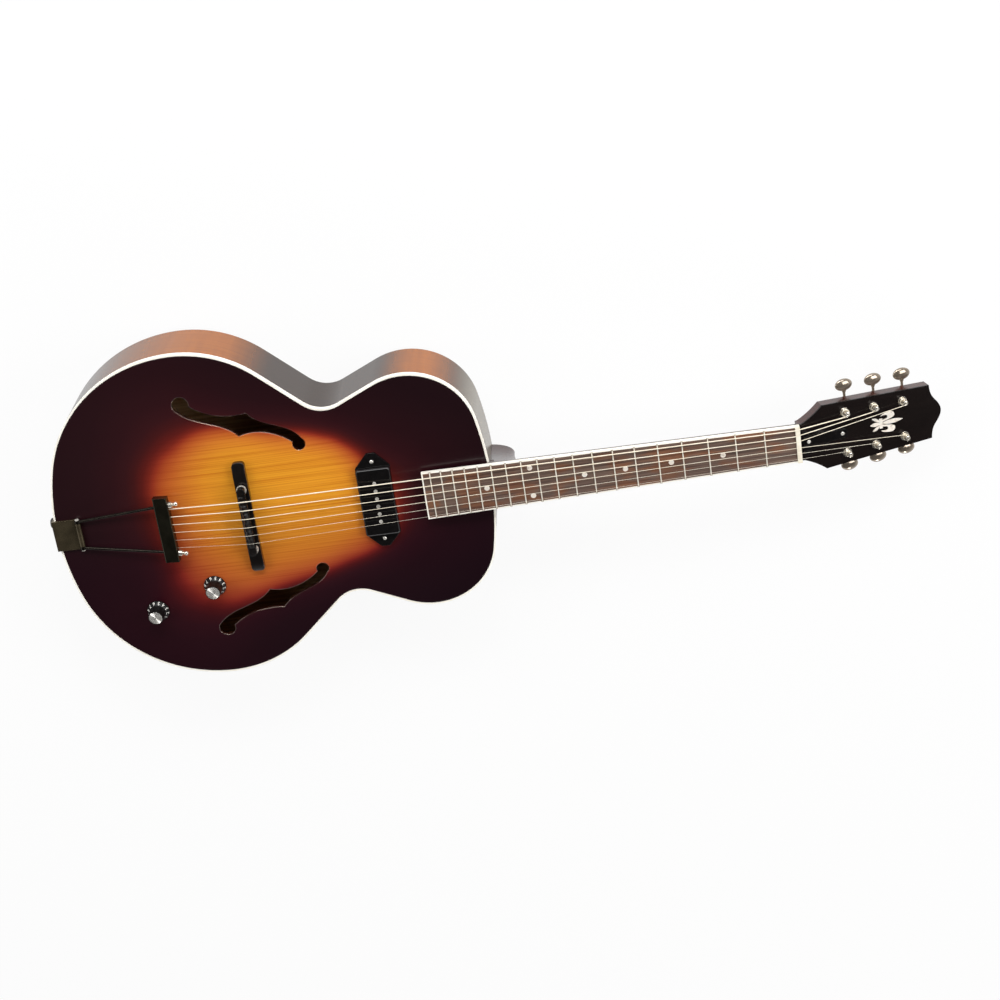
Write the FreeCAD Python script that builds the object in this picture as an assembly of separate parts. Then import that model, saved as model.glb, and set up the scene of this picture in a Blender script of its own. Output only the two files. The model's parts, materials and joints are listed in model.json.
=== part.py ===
import FreeCAD, Part

import math
import os

Vec = FreeCAD.Vector
Place = FreeCAD.Placement
Turn = FreeCAD.Rotation

# Driving dimensions in millimetres. While the pieces are made, x runs from the tail to the headstock with
# zero at the fourteenth fret, y points to the bass side, z out of the face with zero at the rim's top edge.

# Body outline and rim
body_front = -1.6
body_length = 513.6
tail_radius = 297.4
lower_width = 406.4
rear_bout_radius = 168.6
front_bout_radius = 140.2
waist_width = 232.1
waist_from_tail = 337.5
waist_radius = 35.6
upper_width = 291.7
upper_radius = 79.1
shoulder_radius = 415.7
rim_depth = 82.5
side_thickness = 3.0
binding_width = 2.0
binding_height = 6.5
lining_width = 7.0
lining_foot = 1.5
lining_height = 14.0

# Arched plates
top_arch = 10.0
back_arch = 13.0
plate_thickness = 4.5
arch_fullness = 3.0
arch_run_out = 1.6
arch_recurve = 1.5
arch_margin = 6.0
arch_rows = 45
arch_columns = 37

# Sound holes, placed from the line between their notches
sound_hole_line = -282.0
eye_small_radius = 7.3
eye_large_radius = 9.5
eye_small_at = (68.5, 79.5)
eye_large_at = (-57.5, 143.0)
inner_edge_low = ((-64.5, 137.0), (-50.6, 125.6), (-24.0, 115.0), (2.5, 97.9))
inner_edge_high = ((2.5, 97.9), (20.5, 100.5), (46.0, 93.5), (62.2, 82.5))
outer_edge_high = ((73.4, 84.2), (59.2, 98.5), (32.0, 110.5), (15.0, 123.8))
outer_edge_low = ((15.0, 123.8), (-1.0, 122.9), (-18.0, 125.2), (-49.0, 141.0))

# Blocks and tone bars inside the body
neck_block_length = 60.0
neck_block_width = 76.0
tail_block_length = 24.0
tail_block_width = 70.0
tone_bar_offset = 54.0
tone_bar_width = 7.0
tone_bar_height = 13.0
tone_bar_from = -430.0
tone_bar_to = -95.0

# Neck and fingerboard
scale_length = 628.65
body_fret = 14
fret_count = 19
neck_pitch = 2.5
board_height = 13.2
board_thickness = 6.0
board_radius = 305.0
board_overhang = 80.0
nut_width = 44.45
board_end_width = 58.5
board_binding = 1.6
fret_width = 2.2
fret_height = 1.1
fret_end_inset = 0.4
tang_width = 0.6
tang_depth = 2.0
tang_clearance = 0.02
marker_radius = 3.1
marker_depth = 1.5
marker_frets = (3, 5, 7, 9, 15)
double_marker_fret = 12
double_marker_offset = 17.5
nut_thickness = 5.2
nut_rise = 2.2
neck_depth_nut = 15.0
neck_depth_heel = 18.0
neck_overrun = 14.0
neck_root = -10.0
heel_top = 4.0
heel_buried = 10.0
heel_bottom_width = 28.0
heel_bottom_length = 25.0
heel_top_width = 53.0
heel_top_length = 50.0
heel_levels = ((0.0, 0.0), (0.18, 0.24), (0.42, 0.62), (0.72, 0.93), (1.0, 1.0))
tenon_width = 34.0
tenon_length = 38.0
tenon_top = 10.0
tenon_bottom = 74.0
extension_inset = 4.0
rod_slot_width = 6.0
rod_slot_depth = 10.0
rod_depth_share = 0.75

# Headstock, measured along its own tilted face from the nut
head_angle = 13.5
head_thickness = 12.2
veneer_thickness = 2.0
head_flare_start = 3.0
head_flare_end = 29.0
head_flare_spread = 0.3
head_flare_bow = 2.0
head_wide = 78.6
head_length = 161.0
head_narrow = 66.0
head_tip = 174.0
head_tip_steps = ((0.0, 1.0), (0.06, 0.78), (0.22, 0.59), (0.68, 0.33))
cover_start = 3.0
cover_end = 57.0
cover_wide = 26.0
cover_narrow = 13.0
cover_shoulder_share = 0.82
cover_waist_share = 0.95
cover_end_share = 0.8
cover_thickness = 2.0
cover_screws = (9.0, 50.6)
rod_pocket_start = 12.5
rod_pocket_end = 28.0
rod_pocket_width = 9.0
rod_end_reach = 22.0
rod_end_radius = 2.2
rod_nut_radius = 3.3
rod_nut_length = 7.0
inlay_depth = 0.8
inlay_band = 99.0
inlay_tip = 126.4
inlay_foot = 85.6
inlay_half_band = 2.0
inlay_band_reach = 6.2
inlay_petal_half = 2.7
inlay_leaf_half = 2.4
petal_outer = ((1.5, 1.2), (10.5, 3.6), (17.2, 7.6), (15.6, 11.6), (9.0, 12.4), (3.0, 11.2), (-0.6, 9.0))
petal_inner = ((-0.6, 9.0), (4.4, 9.3), (8.2, 8.2), (8.0, 6.0), (4.8, 4.7), (1.5, 3.8))
leaf_outer = ((-1.0, 1.6), (-5.0, 7.0), (-11.0, 7.9))
leaf_inner = ((-11.0, 7.9), (-7.0, 4.1), (-1.0, 1.6))

# Tuners: worm shaft beside the post, gear wheel on the post's lower end
tuner_first = 55.2
tuner_spacing = 35.8
tuner_edge = 25.2
tuner_taper = 1.65
gear_teeth = 16
gear_radius = 6.6
gear_width = 3.0
gear_addendum = 0.75
gear_dedendum = 1.0
worm_radius = 2.9
worm_addendum = 0.7
worm_dedendum = 0.95
worm_turns = 4.0
worm_thread_sunk = 0.2
tooth_thickness = 0.9
pressure_angle = 20.0
worm_drop = 5.2
post_radius = 3.0
post_top = 12.2
post_collar = 1.2
running_fit = 0.05
bushing_radius = 4.3
bushing_flange = 5.2
bushing_lip = 1.0
tuner_plate_thickness = 1.0
tuner_plate_width = 19.0
tuner_plate_edge = 0.8
tuner_screw_gap = 0.6
lug_inner = 6.2
lug_thickness = 2.5
lug_half_width = 3.4
lug_trim = 0.4
shaft_radius = 1.6
collar_radius = 2.4
collar_thickness = 1.0
button_offset = 24.6
button_size = (10.5, 7.4, 3.6)
button_neck = 2.6
button_neck_sunk = 1.5

# Strings, from the low bass string to the high treble string
string_diameters = (1.27, 1.02, 0.76, 0.56, 0.41, 0.30)
wound_count = 4
nut_spread = 36.0
saddle_spread = 53.3
tail_spread = 49.4
nut_action = 1.3
groove_clearance = 0.08
groove_share = 0.3
string_post_height = 8.6
wrap_turns = (1.5, 1.5, 2, 2, 3, 3)
wrap_step = 0.45
wrap_clearance = 0.3
ball_radius = 2.0
ball_length = 3.6
ball_drop = 1.0

# Bridge
saddle_setback = 6.2
saddle_crest = 31.0
saddle_width = 9.0
saddle_length = 86.0
saddle_ear_height = 6.0
saddle_bottom = 22.5
saddle_end_share = 0.9
crest_width = 2.0
crest_sunk = 1.0
crest_offsets = (-2.6, -1.4, -0.4, -1.6, -0.4, 0.8)
bridge_length = 137.6
bridge_width = 15.0
bridge_corner = 4.5
bridge_top = 17.0
bridge_flat_length = 100.0
bridge_end_rise = 5.0
bridge_shoulder_out = 2.0
bridge_shoulder_up = 0.8
bridge_relief_length = 44.0
bridge_relief = 2.5
wheel_spread = 75.5
wheel_radius = 6.0
wheel_thickness = 3.0
wheel_notches = 20
wheel_notch_depth = 0.35
bridge_post_radius = 2.0
bridge_post_depth = 5.0
bridge_post_reach = 3.5
saddle_bore_spare = 1.8

# Tailpiece
hinge_from_tail = 28.8
hinge_height = 5.0
hinge_radius = 3.0
hinge_pin_radius = 1.6
hinge_pin_head = 2.4
hinge_head_length = 1.2
hinge_width = 37.6
rod_eye_width = 4.0
rod_eye_radius = 3.2
rod_eye_gap = 0.3
bracket_thickness = 2.2
bracket_rise = 3.0
bracket_drop = 58.0
bracket_round_share = 0.6
bracket_screw_inset = 6.0
bracket_screw_up = 22.0
bracket_screw_down = 12.0
tail_rod_radius = 1.7
rod_end_from_tail = 151.0
rod_end_height = 22.0
rod_bar_spread = 63.2
bar_from_tail = 133.5
bar_width = 17.0
bar_height = 8.0
bar_wall = 2.0
bar_length = 81.6
bar_round = 1.8
bar_hole_spare = 0.2
end_nut_radius = 3.6
end_nut_length = 4.5
end_nut_gap = 0.6
rod_ball_radius = 2.7
strap_length = 12.5
strap_base_radius = 5.5
strap_waist_radius = 4.2
strap_head_radius = 6.5
strap_base_height = 1.0
strap_waist_low = 3.0
strap_waist_high = 6.0
strap_head_low = 8.0
strap_head_high = 11.0
strap_crown = 1.5
strap_height = -39.0

# Pickup
pickup_x = -134.6
pickup_width = 40.2
pickup_body = 84.0
pickup_length = 117.0
pickup_tip = 10.0
pickup_top = 16.8
pickup_ear = 3.2
pickup_wall = 1.8
pickup_corner = 3.0
ear_screw_spread = 96.4
pole_spread = 47.9
pole_head_radius = 2.2
pole_shank_radius = 1.5
pole_rise = 0.8
pole_head_height = 1.6
pole_foot = 1.5
pole_slot_width = 0.7
pole_slot_depth = 0.6
bobbin_width = 32.0
bobbin_length = 78.0
bobbin_height = 10.0
coil_inset = 1.5
coil_gap = 0.3
flange_thickness = 1.5
magnet_width = 12.0
magnet_height = 4.0
magnet_length = 66.0
magnet_gap = 0.6
base_thickness = 1.2
cavity_clearance = 1.0

# Controls on the treble side
volume_at = (-342.5, -84.0)
tone_at = (-416.0, -109.3)
knob_skirt_radius = 13.2
knob_shoulder_radius = 9.6
knob_cap_radius = 8.7
knob_height = 18.0
knob_skirt_height = 4.2
knob_skirt_edge = 0.8
knob_neck_height = 0.8
knob_neck_spread = 0.3
knob_rim_height = 0.6
knob_rim_inset = 0.4
knob_roof = 1.2
knob_gap = 1.0
knob_hollow_radius = 8.0
knob_hollow_height = 5.0
insert_radius = 8.0
insert_thickness = 0.8
pot_radius = 12.0
pot_height = 9.5
pot_gap = 0.4
pot_bushing_radius = 4.7
pot_bushing_rise = 4.0
pot_nut_radius = 6.4
pot_nut_height = 2.0
pot_shaft_radius = 3.0
pot_bore_spare = 1.0
jack_angle = 230.0
jack_bore_radius = 3.25
jack_barrel_radius = 4.7
jack_outside = 4.0
jack_inside = 22.0
jack_nut_radius = 7.0
jack_nut_height = 2.4
jack_washer_radius = 8.5
jack_washer_height = 0.9
jack_shoulder_radius = 8.0
jack_shoulder_length = 3.0
wire_radius = 1.1
wire_bend = 9.0
wire_depth = -30.0
wire_step = 5.0
wire_gap = 0.2
capacitor_radius = 3.2
capacitor_length = 13.0

# Screws
screw_head_radius = 2.2
screw_head_height = 1.2
screw_shank_radius = 1.1
screw_point_share = 0.4
screw_point_length = 1.5
screw_rim_share = 0.4
screw_crown_share = 0.6
screw_length = 8.0
small_screw_length = 4.0

# Places that follow from the dimensions above
tail_x = body_front - body_length
nut_x = scale_length * (1 - 2 ** (-body_fret / 12))
saddle_x = nut_x - scale_length - saddle_setback
gear_centre_distance = gear_radius + worm_radius
worm_lead = 2 * math.pi * gear_radius / gear_teeth
rod_z = -board_thickness - rod_slot_depth * rod_depth_share
neck_place = Place(Vec(0, 0, board_height), Turn(Vec(0, 1, 0), neck_pitch))
head_place = neck_place.multiply(
    Place(Vec(nut_x + nut_thickness, 0, -board_thickness), Turn(Vec(0, 1, 0), head_angle)))
strap_tip = tail_x - bracket_thickness - strap_length
head_end = head_place.multVec(Vec(head_tip, 0, veneer_thickness)).x
row_shift = Vec(-(strap_tip + head_end) / 2, 0, rim_depth + back_arch)
far = 300.0


# Plain shapes

def box(low, high):
    size = high - low
    return Part.makeBox(size.x, size.y, size.z, low)


def bar(start, end, radius):
    line = end - start
    return Part.makeCylinder(radius, line.Length, start, line)


def polygon_face(points):
    return Part.Face(Part.makePolygon(list(points) + [points[0]]))


def spline(points):
    curve = Part.BSplineCurve()
    curve.interpolate(points)
    return curve.toShape()


def arc(first, middle, last):
    return Part.Arc(first, middle, last).toShape()


def line(first, last):
    return Part.LineSegment(first, last).toShape()


def turned(profile):
    face = polygon_face([Vec(radius, 0, height) for radius, height in profile])
    return face.revolve(Vec(0, 0, 0), Vec(0, 0, 1), 360)


def put(shape, place):
    moved = shape.copy()
    moved.Placement = place.multiply(moved.Placement)
    return moved


def aim(point, axis):
    return Place(point, Turn(Vec(0, 0, 1), axis))


def mirrored(shape):
    return shape.mirror(Vec(0, 0, 0), Vec(0, 1, 0))


def solids_of(shapes):
    found = []
    for shape in shapes:
        found.extend(shape.Solids)
    return Part.makeCompound(found)


# Body outline: tangent arcs and lines on the bass side, mirrored for the treble side

def unit(x, y):
    length = math.hypot(x, y)
    return Vec(x / length, y / length, 0)


def tangent_normal(convex_centre, convex_radius, waist_centre, side):
    gap = waist_centre - convex_centre
    lean = math.acos(min(1.0, (convex_radius + waist_radius) / gap.Length))
    angle = math.atan2(gap.y, gap.x) + side * lean
    return Vec(math.cos(angle), math.sin(angle), 0)


def outline_arcs():
    lower_half = lower_width / 2
    tail_centre = Vec(tail_x + tail_radius, 0, 0)
    rear_y = lower_half - rear_bout_radius
    lower_x = tail_centre.x - math.sqrt((tail_radius - rear_bout_radius) ** 2 - rear_y ** 2)
    rear_centre = Vec(lower_x, rear_y, 0)
    waist_centre = Vec(tail_x + waist_from_tail, waist_width / 2 + waist_radius, 0)
    run = waist_centre.x - lower_x
    rise = (lower_width - waist_width) / 2
    front_radius = min(front_bout_radius, (run ** 2 + rise ** 2) / (2 * rise) - waist_radius)
    front_centre = Vec(lower_x, lower_half - front_radius, 0)
    shoulder_centre = Vec(body_front - shoulder_radius, 0, 0)
    upper_y = upper_width / 2 - upper_radius
    upper_run = math.sqrt((shoulder_radius - upper_radius) ** 2 - upper_y ** 2)
    upper_centre = Vec(shoulder_centre.x + upper_run, upper_y, 0)
    at_tail = Vec(-1, 0, 0)
    at_corner = unit(rear_centre.x - tail_centre.x, rear_centre.y)
    at_widest = Vec(0, 1, 0)
    into_waist = tangent_normal(front_centre, front_radius, waist_centre, 1)
    out_of_waist = tangent_normal(upper_centre, upper_radius, waist_centre, -1)
    at_shoulder = unit(upper_centre.x - shoulder_centre.x, upper_centre.y)
    at_front = Vec(1, 0, 0)
    return [
        (tail_centre, tail_radius, at_tail, at_corner),
        (rear_centre, rear_bout_radius, at_corner, at_widest),
        (front_centre, front_radius, at_widest, into_waist),
        (waist_centre, -waist_radius, into_waist, out_of_waist),
        (upper_centre, upper_radius, out_of_waist, at_shoulder),
        (shoulder_centre, shoulder_radius, at_shoulder, at_front),
    ]


half_outline = outline_arcs()


def half_edges(inset, z, side):
    edges = []
    last = None
    for centre, radius, start, end in half_outline:
        middle = unit(start.x + end.x, start.y + end.y)
        points = []
        for normal in (start, middle, end):
            point = centre + normal * (radius - inset)
            points.append(Vec(point.x, side * point.y, z))
        if last is not None and last.distanceToPoint(points[0]) > 0.001:
            edges.append(line(last, points[0]))
        edges.append(arc(*points))
        last = points[-1]
    return edges


def outline_wire(inset, z):
    bass = half_edges(inset, z, 1)
    treble = half_edges(inset, z, -1)
    return Part.Wire(bass + treble[::-1])


def prism(inset, low, high):
    return Part.Face(outline_wire(inset, low)).extrude(Vec(0, 0, high - low))


def half_width(x, inset):
    last = None
    for centre, radius, start, end in half_outline:
        reach = radius - inset
        first = centre + start * reach
        final = centre + end * reach
        if last is not None and x < first.x:
            share = (x - last.x) / (first.x - last.x)
            return last.y + share * (first.y - last.y)
        if x <= final.x:
            rise = math.sqrt(max(reach * reach - (x - centre.x) ** 2, 0))
            return centre.y + math.copysign(rise, reach)
        last = final
    return 0.0


# Arched plates

def arch(x, y):
    low = tail_x + binding_width
    high = body_front - binding_width
    run = (2 * x - low - high) / (high - low)
    if abs(run) >= 1:
        return 0.0
    width = half_width(x, binding_width)
    if abs(y) >= width:
        return 0.0
    lengthwise = (1 - abs(run) ** arch_fullness) ** arch_run_out
    crosswise = (1 - (y / width) ** 2) ** arch_recurve
    return lengthwise * crosswise


def arch_face(height, z):
    low = Vec(tail_x - arch_margin, -lower_width / 2 - arch_margin, 0)
    high = Vec(body_front + arch_margin, lower_width / 2 + arch_margin, 0)
    grid = []
    for row in range(arch_rows):
        x = low.x + (high.x - low.x) * row / (arch_rows - 1)
        points = []
        for column in range(arch_columns):
            y = low.y + (high.y - low.y) * column / (arch_columns - 1)
            points.append(Vec(x, y, z + height * arch(x, y)))
        grid.append(points)
    surface = Part.BSplineSurface()
    surface.interpolate(grid)
    return surface.toShape()


top_face = arch_face(top_arch, 0)
back_face = arch_face(-back_arch, -rim_depth)


def on_top(x, y):
    return Vec(x, y, top_arch * arch(x, y))


def top_normal(x, y):
    step = 1.0
    slope_x = (on_top(x + step, y).z - on_top(x - step, y).z) / (2 * step)
    slope_y = (on_top(x, y + step).z - on_top(x, y - step).z) / (2 * step)
    return Vec(-slope_x, -slope_y, 1).normalize()


def layer(face, low, high):
    sheet = face.copy()
    sheet.translate(Vec(0, 0, low))
    return sheet.extrude(Vec(0, 0, high - low))


def body_envelope():
    return prism(0, -far, far).common(layer(top_face, -2 * far, 0))


def cavity():
    inside = prism(side_thickness, -far, far)
    inside = inside.common(layer(top_face, -2 * far, -plate_thickness))
    return inside.common(layer(back_face, plate_thickness, 2 * far))


envelope = body_envelope()
below_edge = prism(0, -far, 0)
room = cavity()


def hole_points(points, z):
    return [Vec(sound_hole_line + x, y, z) for x, y in points]


def sound_hole():
    low = -far
    edges = []
    for points in (inner_edge_low, inner_edge_high):
        edges.append(spline(hole_points(points, low)))
    edges.append(line(*hole_points((inner_edge_high[-1], outer_edge_high[0]), low)))
    for points in (outer_edge_high, outer_edge_low):
        edges.append(spline(hole_points(points, low)))
    edges.append(line(*hole_points((outer_edge_low[-1], inner_edge_low[0]), low)))
    hole = Part.Face(Part.Wire(edges)).extrude(Vec(0, 0, 2 * far))
    eyes = []
    for place, radius in ((eye_small_at, eye_small_radius), (eye_large_at, eye_large_radius)):
        centre = hole_points((place,), low)[0]
        eyes.append(Part.makeCylinder(radius, 2 * far, centre))
    return hole.fuse(eyes)


def pickup_opening():
    half = Vec(bobbin_width / 2 + cavity_clearance, bobbin_length / 2 + cavity_clearance, far)
    centre = Vec(pickup_x, 0, 0)
    return box(centre - half, centre + half)


def top_plate():
    plate = prism(binding_width, -far, far).common(layer(top_face, -plate_thickness, 0))
    hole = sound_hole()
    tools = [hole, mirrored(hole), pickup_opening()]
    for place in (volume_at, tone_at):
        seat = on_top(*place)
        normal = top_normal(*place)
        tools.append(bar(seat - normal * far, seat + normal * far, pot_bushing_radius))
    return plate.cut(tools)


def back_plate():
    return prism(binding_width, -far, far).common(layer(back_face, 0, plate_thickness))


def binding(low, high):
    return prism(0, low, high).cut(prism(binding_width, low, high))


def tenon_block():
    low = Vec(body_front - tenon_length, -tenon_width / 2, -tenon_bottom)
    return box(low, Vec(body_front, tenon_width / 2, -tenon_top))


def jack_frame():
    centre, radius = half_outline[1][:2]
    angle = math.radians(jack_angle)
    axis = Vec(math.cos(angle), math.sin(angle), 0)
    seat = Vec(centre.x, -centre.y, -rim_depth / 2) + axis * radius
    return seat, axis


def rim():
    low = -rim_depth + plate_thickness
    high = -plate_thickness
    wall = prism(0, low, high).cut(prism(side_thickness, low, high))
    ledge = prism(0, -binding_height, high).cut(prism(binding_width, -binding_height, high))
    foot_top = -rim_depth + binding_height
    foot = prism(0, low, foot_top).cut(prism(binding_width, low, foot_top))
    seat, axis = jack_frame()
    jack_hole = bar(seat - axis * far / 10, seat + axis * far / 10, jack_barrel_radius)
    return wall.cut([ledge, foot, tenon_block(), jack_hole])


def half_space(side):
    return box(Vec(tail_x - far, min(0, side * far), -far), Vec(far, max(0, side * far), far))


def neck_block_room():
    low = Vec(body_front - side_thickness - neck_block_length, -neck_block_width / 2, -far)
    return box(low, Vec(body_front, neck_block_width / 2, far))


def tail_block_room():
    low = Vec(tail_x, -tail_block_width / 2, -far)
    high = Vec(tail_x + side_thickness + tail_block_length, tail_block_width / 2, far)
    return box(low, high)


def lining(edge, foot):
    wide = outline_wire(side_thickness + lining_width, edge)
    narrow = outline_wire(side_thickness + lining_foot, foot)
    core = Part.makeLoft([wide, narrow], True, True)
    band = prism(side_thickness, min(edge, foot), max(edge, foot))
    return band.cut(core)


def linings():
    top = lining(-plate_thickness, -plate_thickness - lining_height)
    back = lining(-rim_depth + plate_thickness, -rim_depth + plate_thickness + lining_height)
    blocks = [neck_block_room(), tail_block_room()]
    return solids_of([top.cut(blocks), back.cut(blocks)])


def tone_bars():
    under = layer(top_face, -plate_thickness - tone_bar_height, -plate_thickness)
    strips = []
    for side in (1, -1):
        middle = side * tone_bar_offset
        low = Vec(tone_bar_from, middle - tone_bar_width / 2, -far)
        high = Vec(tone_bar_to, middle + tone_bar_width / 2, far)
        strips.append(box(low, high).common(under))
    return solids_of(strips)


# Neck, in the fingerboard's own frame: x along the board with zero at the body fret, z zero on its crown

def board_half_width(x):
    end = -board_overhang
    share = (nut_x - x) / (nut_x - end)
    return (nut_width + share * (board_end_width - nut_width)) / 2


def board_outline(inset, end_inset, z):
    start = -board_overhang + end_inset
    corners = []
    for x, side in ((start, -1), (nut_x, -1), (nut_x, 1), (start, 1)):
        corners.append(Vec(x, side * (board_half_width(x) - inset), z))
    return polygon_face(corners)


def crown(y):
    return math.sqrt(board_radius ** 2 - y ** 2) - board_radius


def board_blank():
    slab = board_outline(0, 0, -board_thickness).extrude(Vec(0, 0, 2 * board_thickness))
    start = Vec(-board_overhang - nut_thickness, 0, -board_radius)
    return slab.common(Part.makeCylinder(board_radius, far * 2, start, Vec(1, 0, 0)))


def board_core():
    core = board_outline(board_binding, board_binding, -far)
    return core.extrude(Vec(0, 0, 2 * far))


def fret_x(number):
    return nut_x - scale_length * (1 - 2 ** (-number / 12))


def bent(profile, x, half_span):
    sweep = 2 * math.degrees(math.asin(half_span / board_radius))
    face = profile.copy()
    face.translate(Vec(x, 0, 0))
    hub = Vec(0, 0, -board_radius)
    face.rotate(hub, Vec(1, 0, 0), -sweep / 2)
    return face.revolve(hub, Vec(1, 0, 0), sweep)


def fret_crown():
    half = fret_width / 2
    top = arc(Vec(-half, 0, 0), Vec(0, 0, fret_height), Vec(half, 0, 0))
    return Part.Face(Part.Wire([top, line(Vec(half, 0, 0), Vec(-half, 0, 0))]))


def fret_tang(spare):
    half = tang_width / 2 + spare
    low = -tang_depth - spare
    return polygon_face([Vec(-half, 0, low), Vec(half, 0, low), Vec(half, 0, 0), Vec(-half, 0, 0)])


def tang(number, spare):
    x = fret_x(number)
    return bent(fret_tang(spare), x, board_half_width(x) - board_binding - fret_end_inset)


def fret(number):
    x = fret_x(number)
    crown_piece = bent(fret_crown(), x, board_half_width(x) - fret_end_inset)
    return crown_piece.fuse(tang(number, 0))


def marker_spots():
    spots = []
    for number in marker_frets:
        spots.append(Vec((fret_x(number) + fret_x(number - 1)) / 2, 0, 0))
    x = (fret_x(double_marker_fret) + fret_x(double_marker_fret - 1)) / 2
    for side in (1, -1):
        spots.append(Vec(x, side * double_marker_offset, 0))
    return spots


def marker_pegs():
    pegs = []
    for spot in marker_spots():
        low = crown(spot.y) - marker_depth
        pegs.append(Part.makeCylinder(marker_radius, 2 * board_thickness, Vec(spot.x, spot.y, low)))
    return pegs


def half_oval(centre, sideways, deep):
    points = []
    for step in range(9):
        angle = math.pi * step / 8
        points.append(centre + sideways * math.cos(angle) + deep * math.sin(angle))
    return Part.Wire([spline(points), line(points[-1], points[0])])


def neck_section(x, half, depth):
    return half_oval(Vec(x, 0, -board_thickness), Vec(0, half, 0), Vec(0, 0, -depth))


def neck_shaft():
    nut_end = nut_x + nut_thickness + neck_overrun
    wires = [
        neck_section(neck_root, board_half_width(neck_root), neck_depth_heel),
        neck_section(nut_end, nut_width / 2, neck_depth_nut),
    ]
    shaft = put(Part.makeLoft(wires, True, True), neck_place)
    clear = put(box(Vec(0, -far, 0), Vec(far, far, far)), head_place)
    return shaft.cut(clear)


def heel_section(z, width, length):
    centre = Vec(body_front - heel_buried, 0, z)
    return half_oval(centre, Vec(0, width / 2, 0), Vec(length + heel_buried, 0, 0))


def heel():
    wires = []
    for drop, share in heel_levels:
        z = heel_top + drop * (-rim_depth - heel_top)
        width = heel_top_width + share * (heel_bottom_width - heel_top_width)
        length = heel_top_length + share * (heel_bottom_length - heel_top_length)
        wires.append(heel_section(z, width, length))
    return Part.makeLoft(wires, True, False)


def neck_extension():
    start = -board_overhang + extension_inset / 2
    corners = []
    for x, side in ((start, -1), (extension_inset, -1), (extension_inset, 1), (start, 1)):
        corners.append(Vec(x, side * (board_half_width(x) - extension_inset), -board_thickness))
    return put(polygon_face(corners).extrude(Vec(0, 0, -neck_depth_heel)), neck_place)


def head_outline(w):
    half = nut_width / 2
    edges = []
    for side in (1, -1):
        root = Vec(0, side * half, w)
        begin = Vec(head_flare_start, side * (half + head_flare_spread), w)
        wide = Vec(head_flare_end, side * head_wide / 2, w)
        bend = Vec((begin.x + wide.x) / 2 + head_flare_bow, side * (half + head_wide / 2) / 2, w)
        corner = Vec(head_length, side * head_narrow / 2, w)
        run = (line(root, begin), arc(begin, bend, wide), line(wide, corner))
        edges.append(run)
    tip = []
    for side in (1, -1):
        half_tip = []
        for rise, share in head_tip_steps:
            u = head_length + rise * (head_tip - head_length)
            half_tip.append(Vec(u, side * share * head_narrow / 2, w))
        tip.append(half_tip)
    crest = [Vec(head_tip, 0, w)]
    top = spline(tip[0] + crest + tip[1][::-1])
    close = line(Vec(0, -half, w), Vec(0, half, w))
    return Part.Face(Part.Wire(list(edges[0]) + [top] + list(edges[1][::-1]) + [close]))


def head_plate(low, high):
    return head_outline(low).extrude(Vec(0, 0, high - low))


def rod_slot():
    half = rod_slot_width / 2
    low = Vec(extension_inset, -half, -board_thickness - rod_slot_depth)
    return put(box(low, Vec(nut_x - nut_thickness, half, -board_thickness)), neck_place)


def rod_end():
    start = Vec(nut_x - 2 * nut_thickness, 0, rod_z)
    end = Vec(nut_x + nut_thickness + rod_end_reach, 0, rod_z)
    return put(bar(start, end, rod_end_radius), neck_place)


def rod_pocket():
    half = rod_pocket_width / 2
    low = Vec(rod_pocket_start, -half, -rod_slot_depth)
    return put(box(low, Vec(rod_pocket_end, half, far)), head_place)


def truss_rod():
    end = Vec(nut_x + nut_thickness + rod_end_reach, 0, rod_z)
    nut_piece = put(bar(end - Vec(rod_nut_length, 0, 0), end, rod_nut_radius), neck_place)
    return rod_slot().fuse([rod_end(), nut_piece]).removeSplitter()


def truss_cover():
    wide = cover_wide / 2
    narrow = cover_narrow / 2
    w = veneer_thickness
    neck_u = cover_start + wide
    waist_u = (neck_u + cover_end) / 2
    left = Vec(cover_start, wide, w)
    last = Vec(cover_end - narrow, narrow * cover_end_share, w)
    bass = spline([left, Vec(neck_u, wide * cover_shoulder_share, w),
                   Vec(waist_u, narrow * cover_waist_share, w), last])
    round_end = arc(last, Vec(cover_end, 0, w), Vec(last.x, -last.y, w))
    treble = mirrored(bass)
    close = line(Vec(cover_start, -wide, w), left)
    edges = Part.__sortEdges__([bass, round_end, treble, close])
    plate = Part.Face(Part.Wire(edges)).extrude(Vec(0, 0, cover_thickness))
    return put(plate, head_place)


def inlay_edge(points, side, w):
    return spline([Vec(inlay_band + u, side * v, w) for u, v in points])


def petal(foot, half, tip, w):
    middle = (foot + tip) / 2
    first = Vec(foot, 0, w)
    last = Vec(tip, 0, w)
    return [arc(first, Vec(middle, half, w), last), arc(last, Vec(middle, -half, w), first)]


def lily():
    w = veneer_thickness - inlay_depth
    high = inlay_band + inlay_half_band
    low = inlay_band - inlay_half_band
    shapes = [petal(inlay_band, inlay_petal_half, inlay_tip, w)]
    shapes.append(petal(inlay_band, inlay_leaf_half, inlay_foot, w))
    for side in (1, -1):
        outer = inlay_edge(petal_outer, side, w)
        inner = inlay_edge(petal_inner, side, w)
        shapes.append([outer, inner, inlay_edge((petal_inner[-1], petal_outer[0]), side, w)])
        shapes.append([inlay_edge(leaf_outer, side, w), inlay_edge(leaf_inner, side, w)])
    solids = []
    for edges in shapes:
        solids.append(Part.Face(Part.Wire(edges)).extrude(Vec(0, 0, inlay_depth)))
    band_piece = box(Vec(low, -inlay_band_reach, w), Vec(high, inlay_band_reach, w + inlay_depth))
    return put(band_piece.fuse(solids).removeSplitter(), head_place)


# Strings

string_count = len(string_diameters)


def string_share(index):
    return 0.5 - index / (string_count - 1)


def saddle_point(index):
    y = string_share(index) * saddle_spread
    radius = string_diameters[index] / 2
    return Vec(saddle_x + crest_offsets[index], y, saddle_crest + crown(y) + groove_share * radius)


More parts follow.
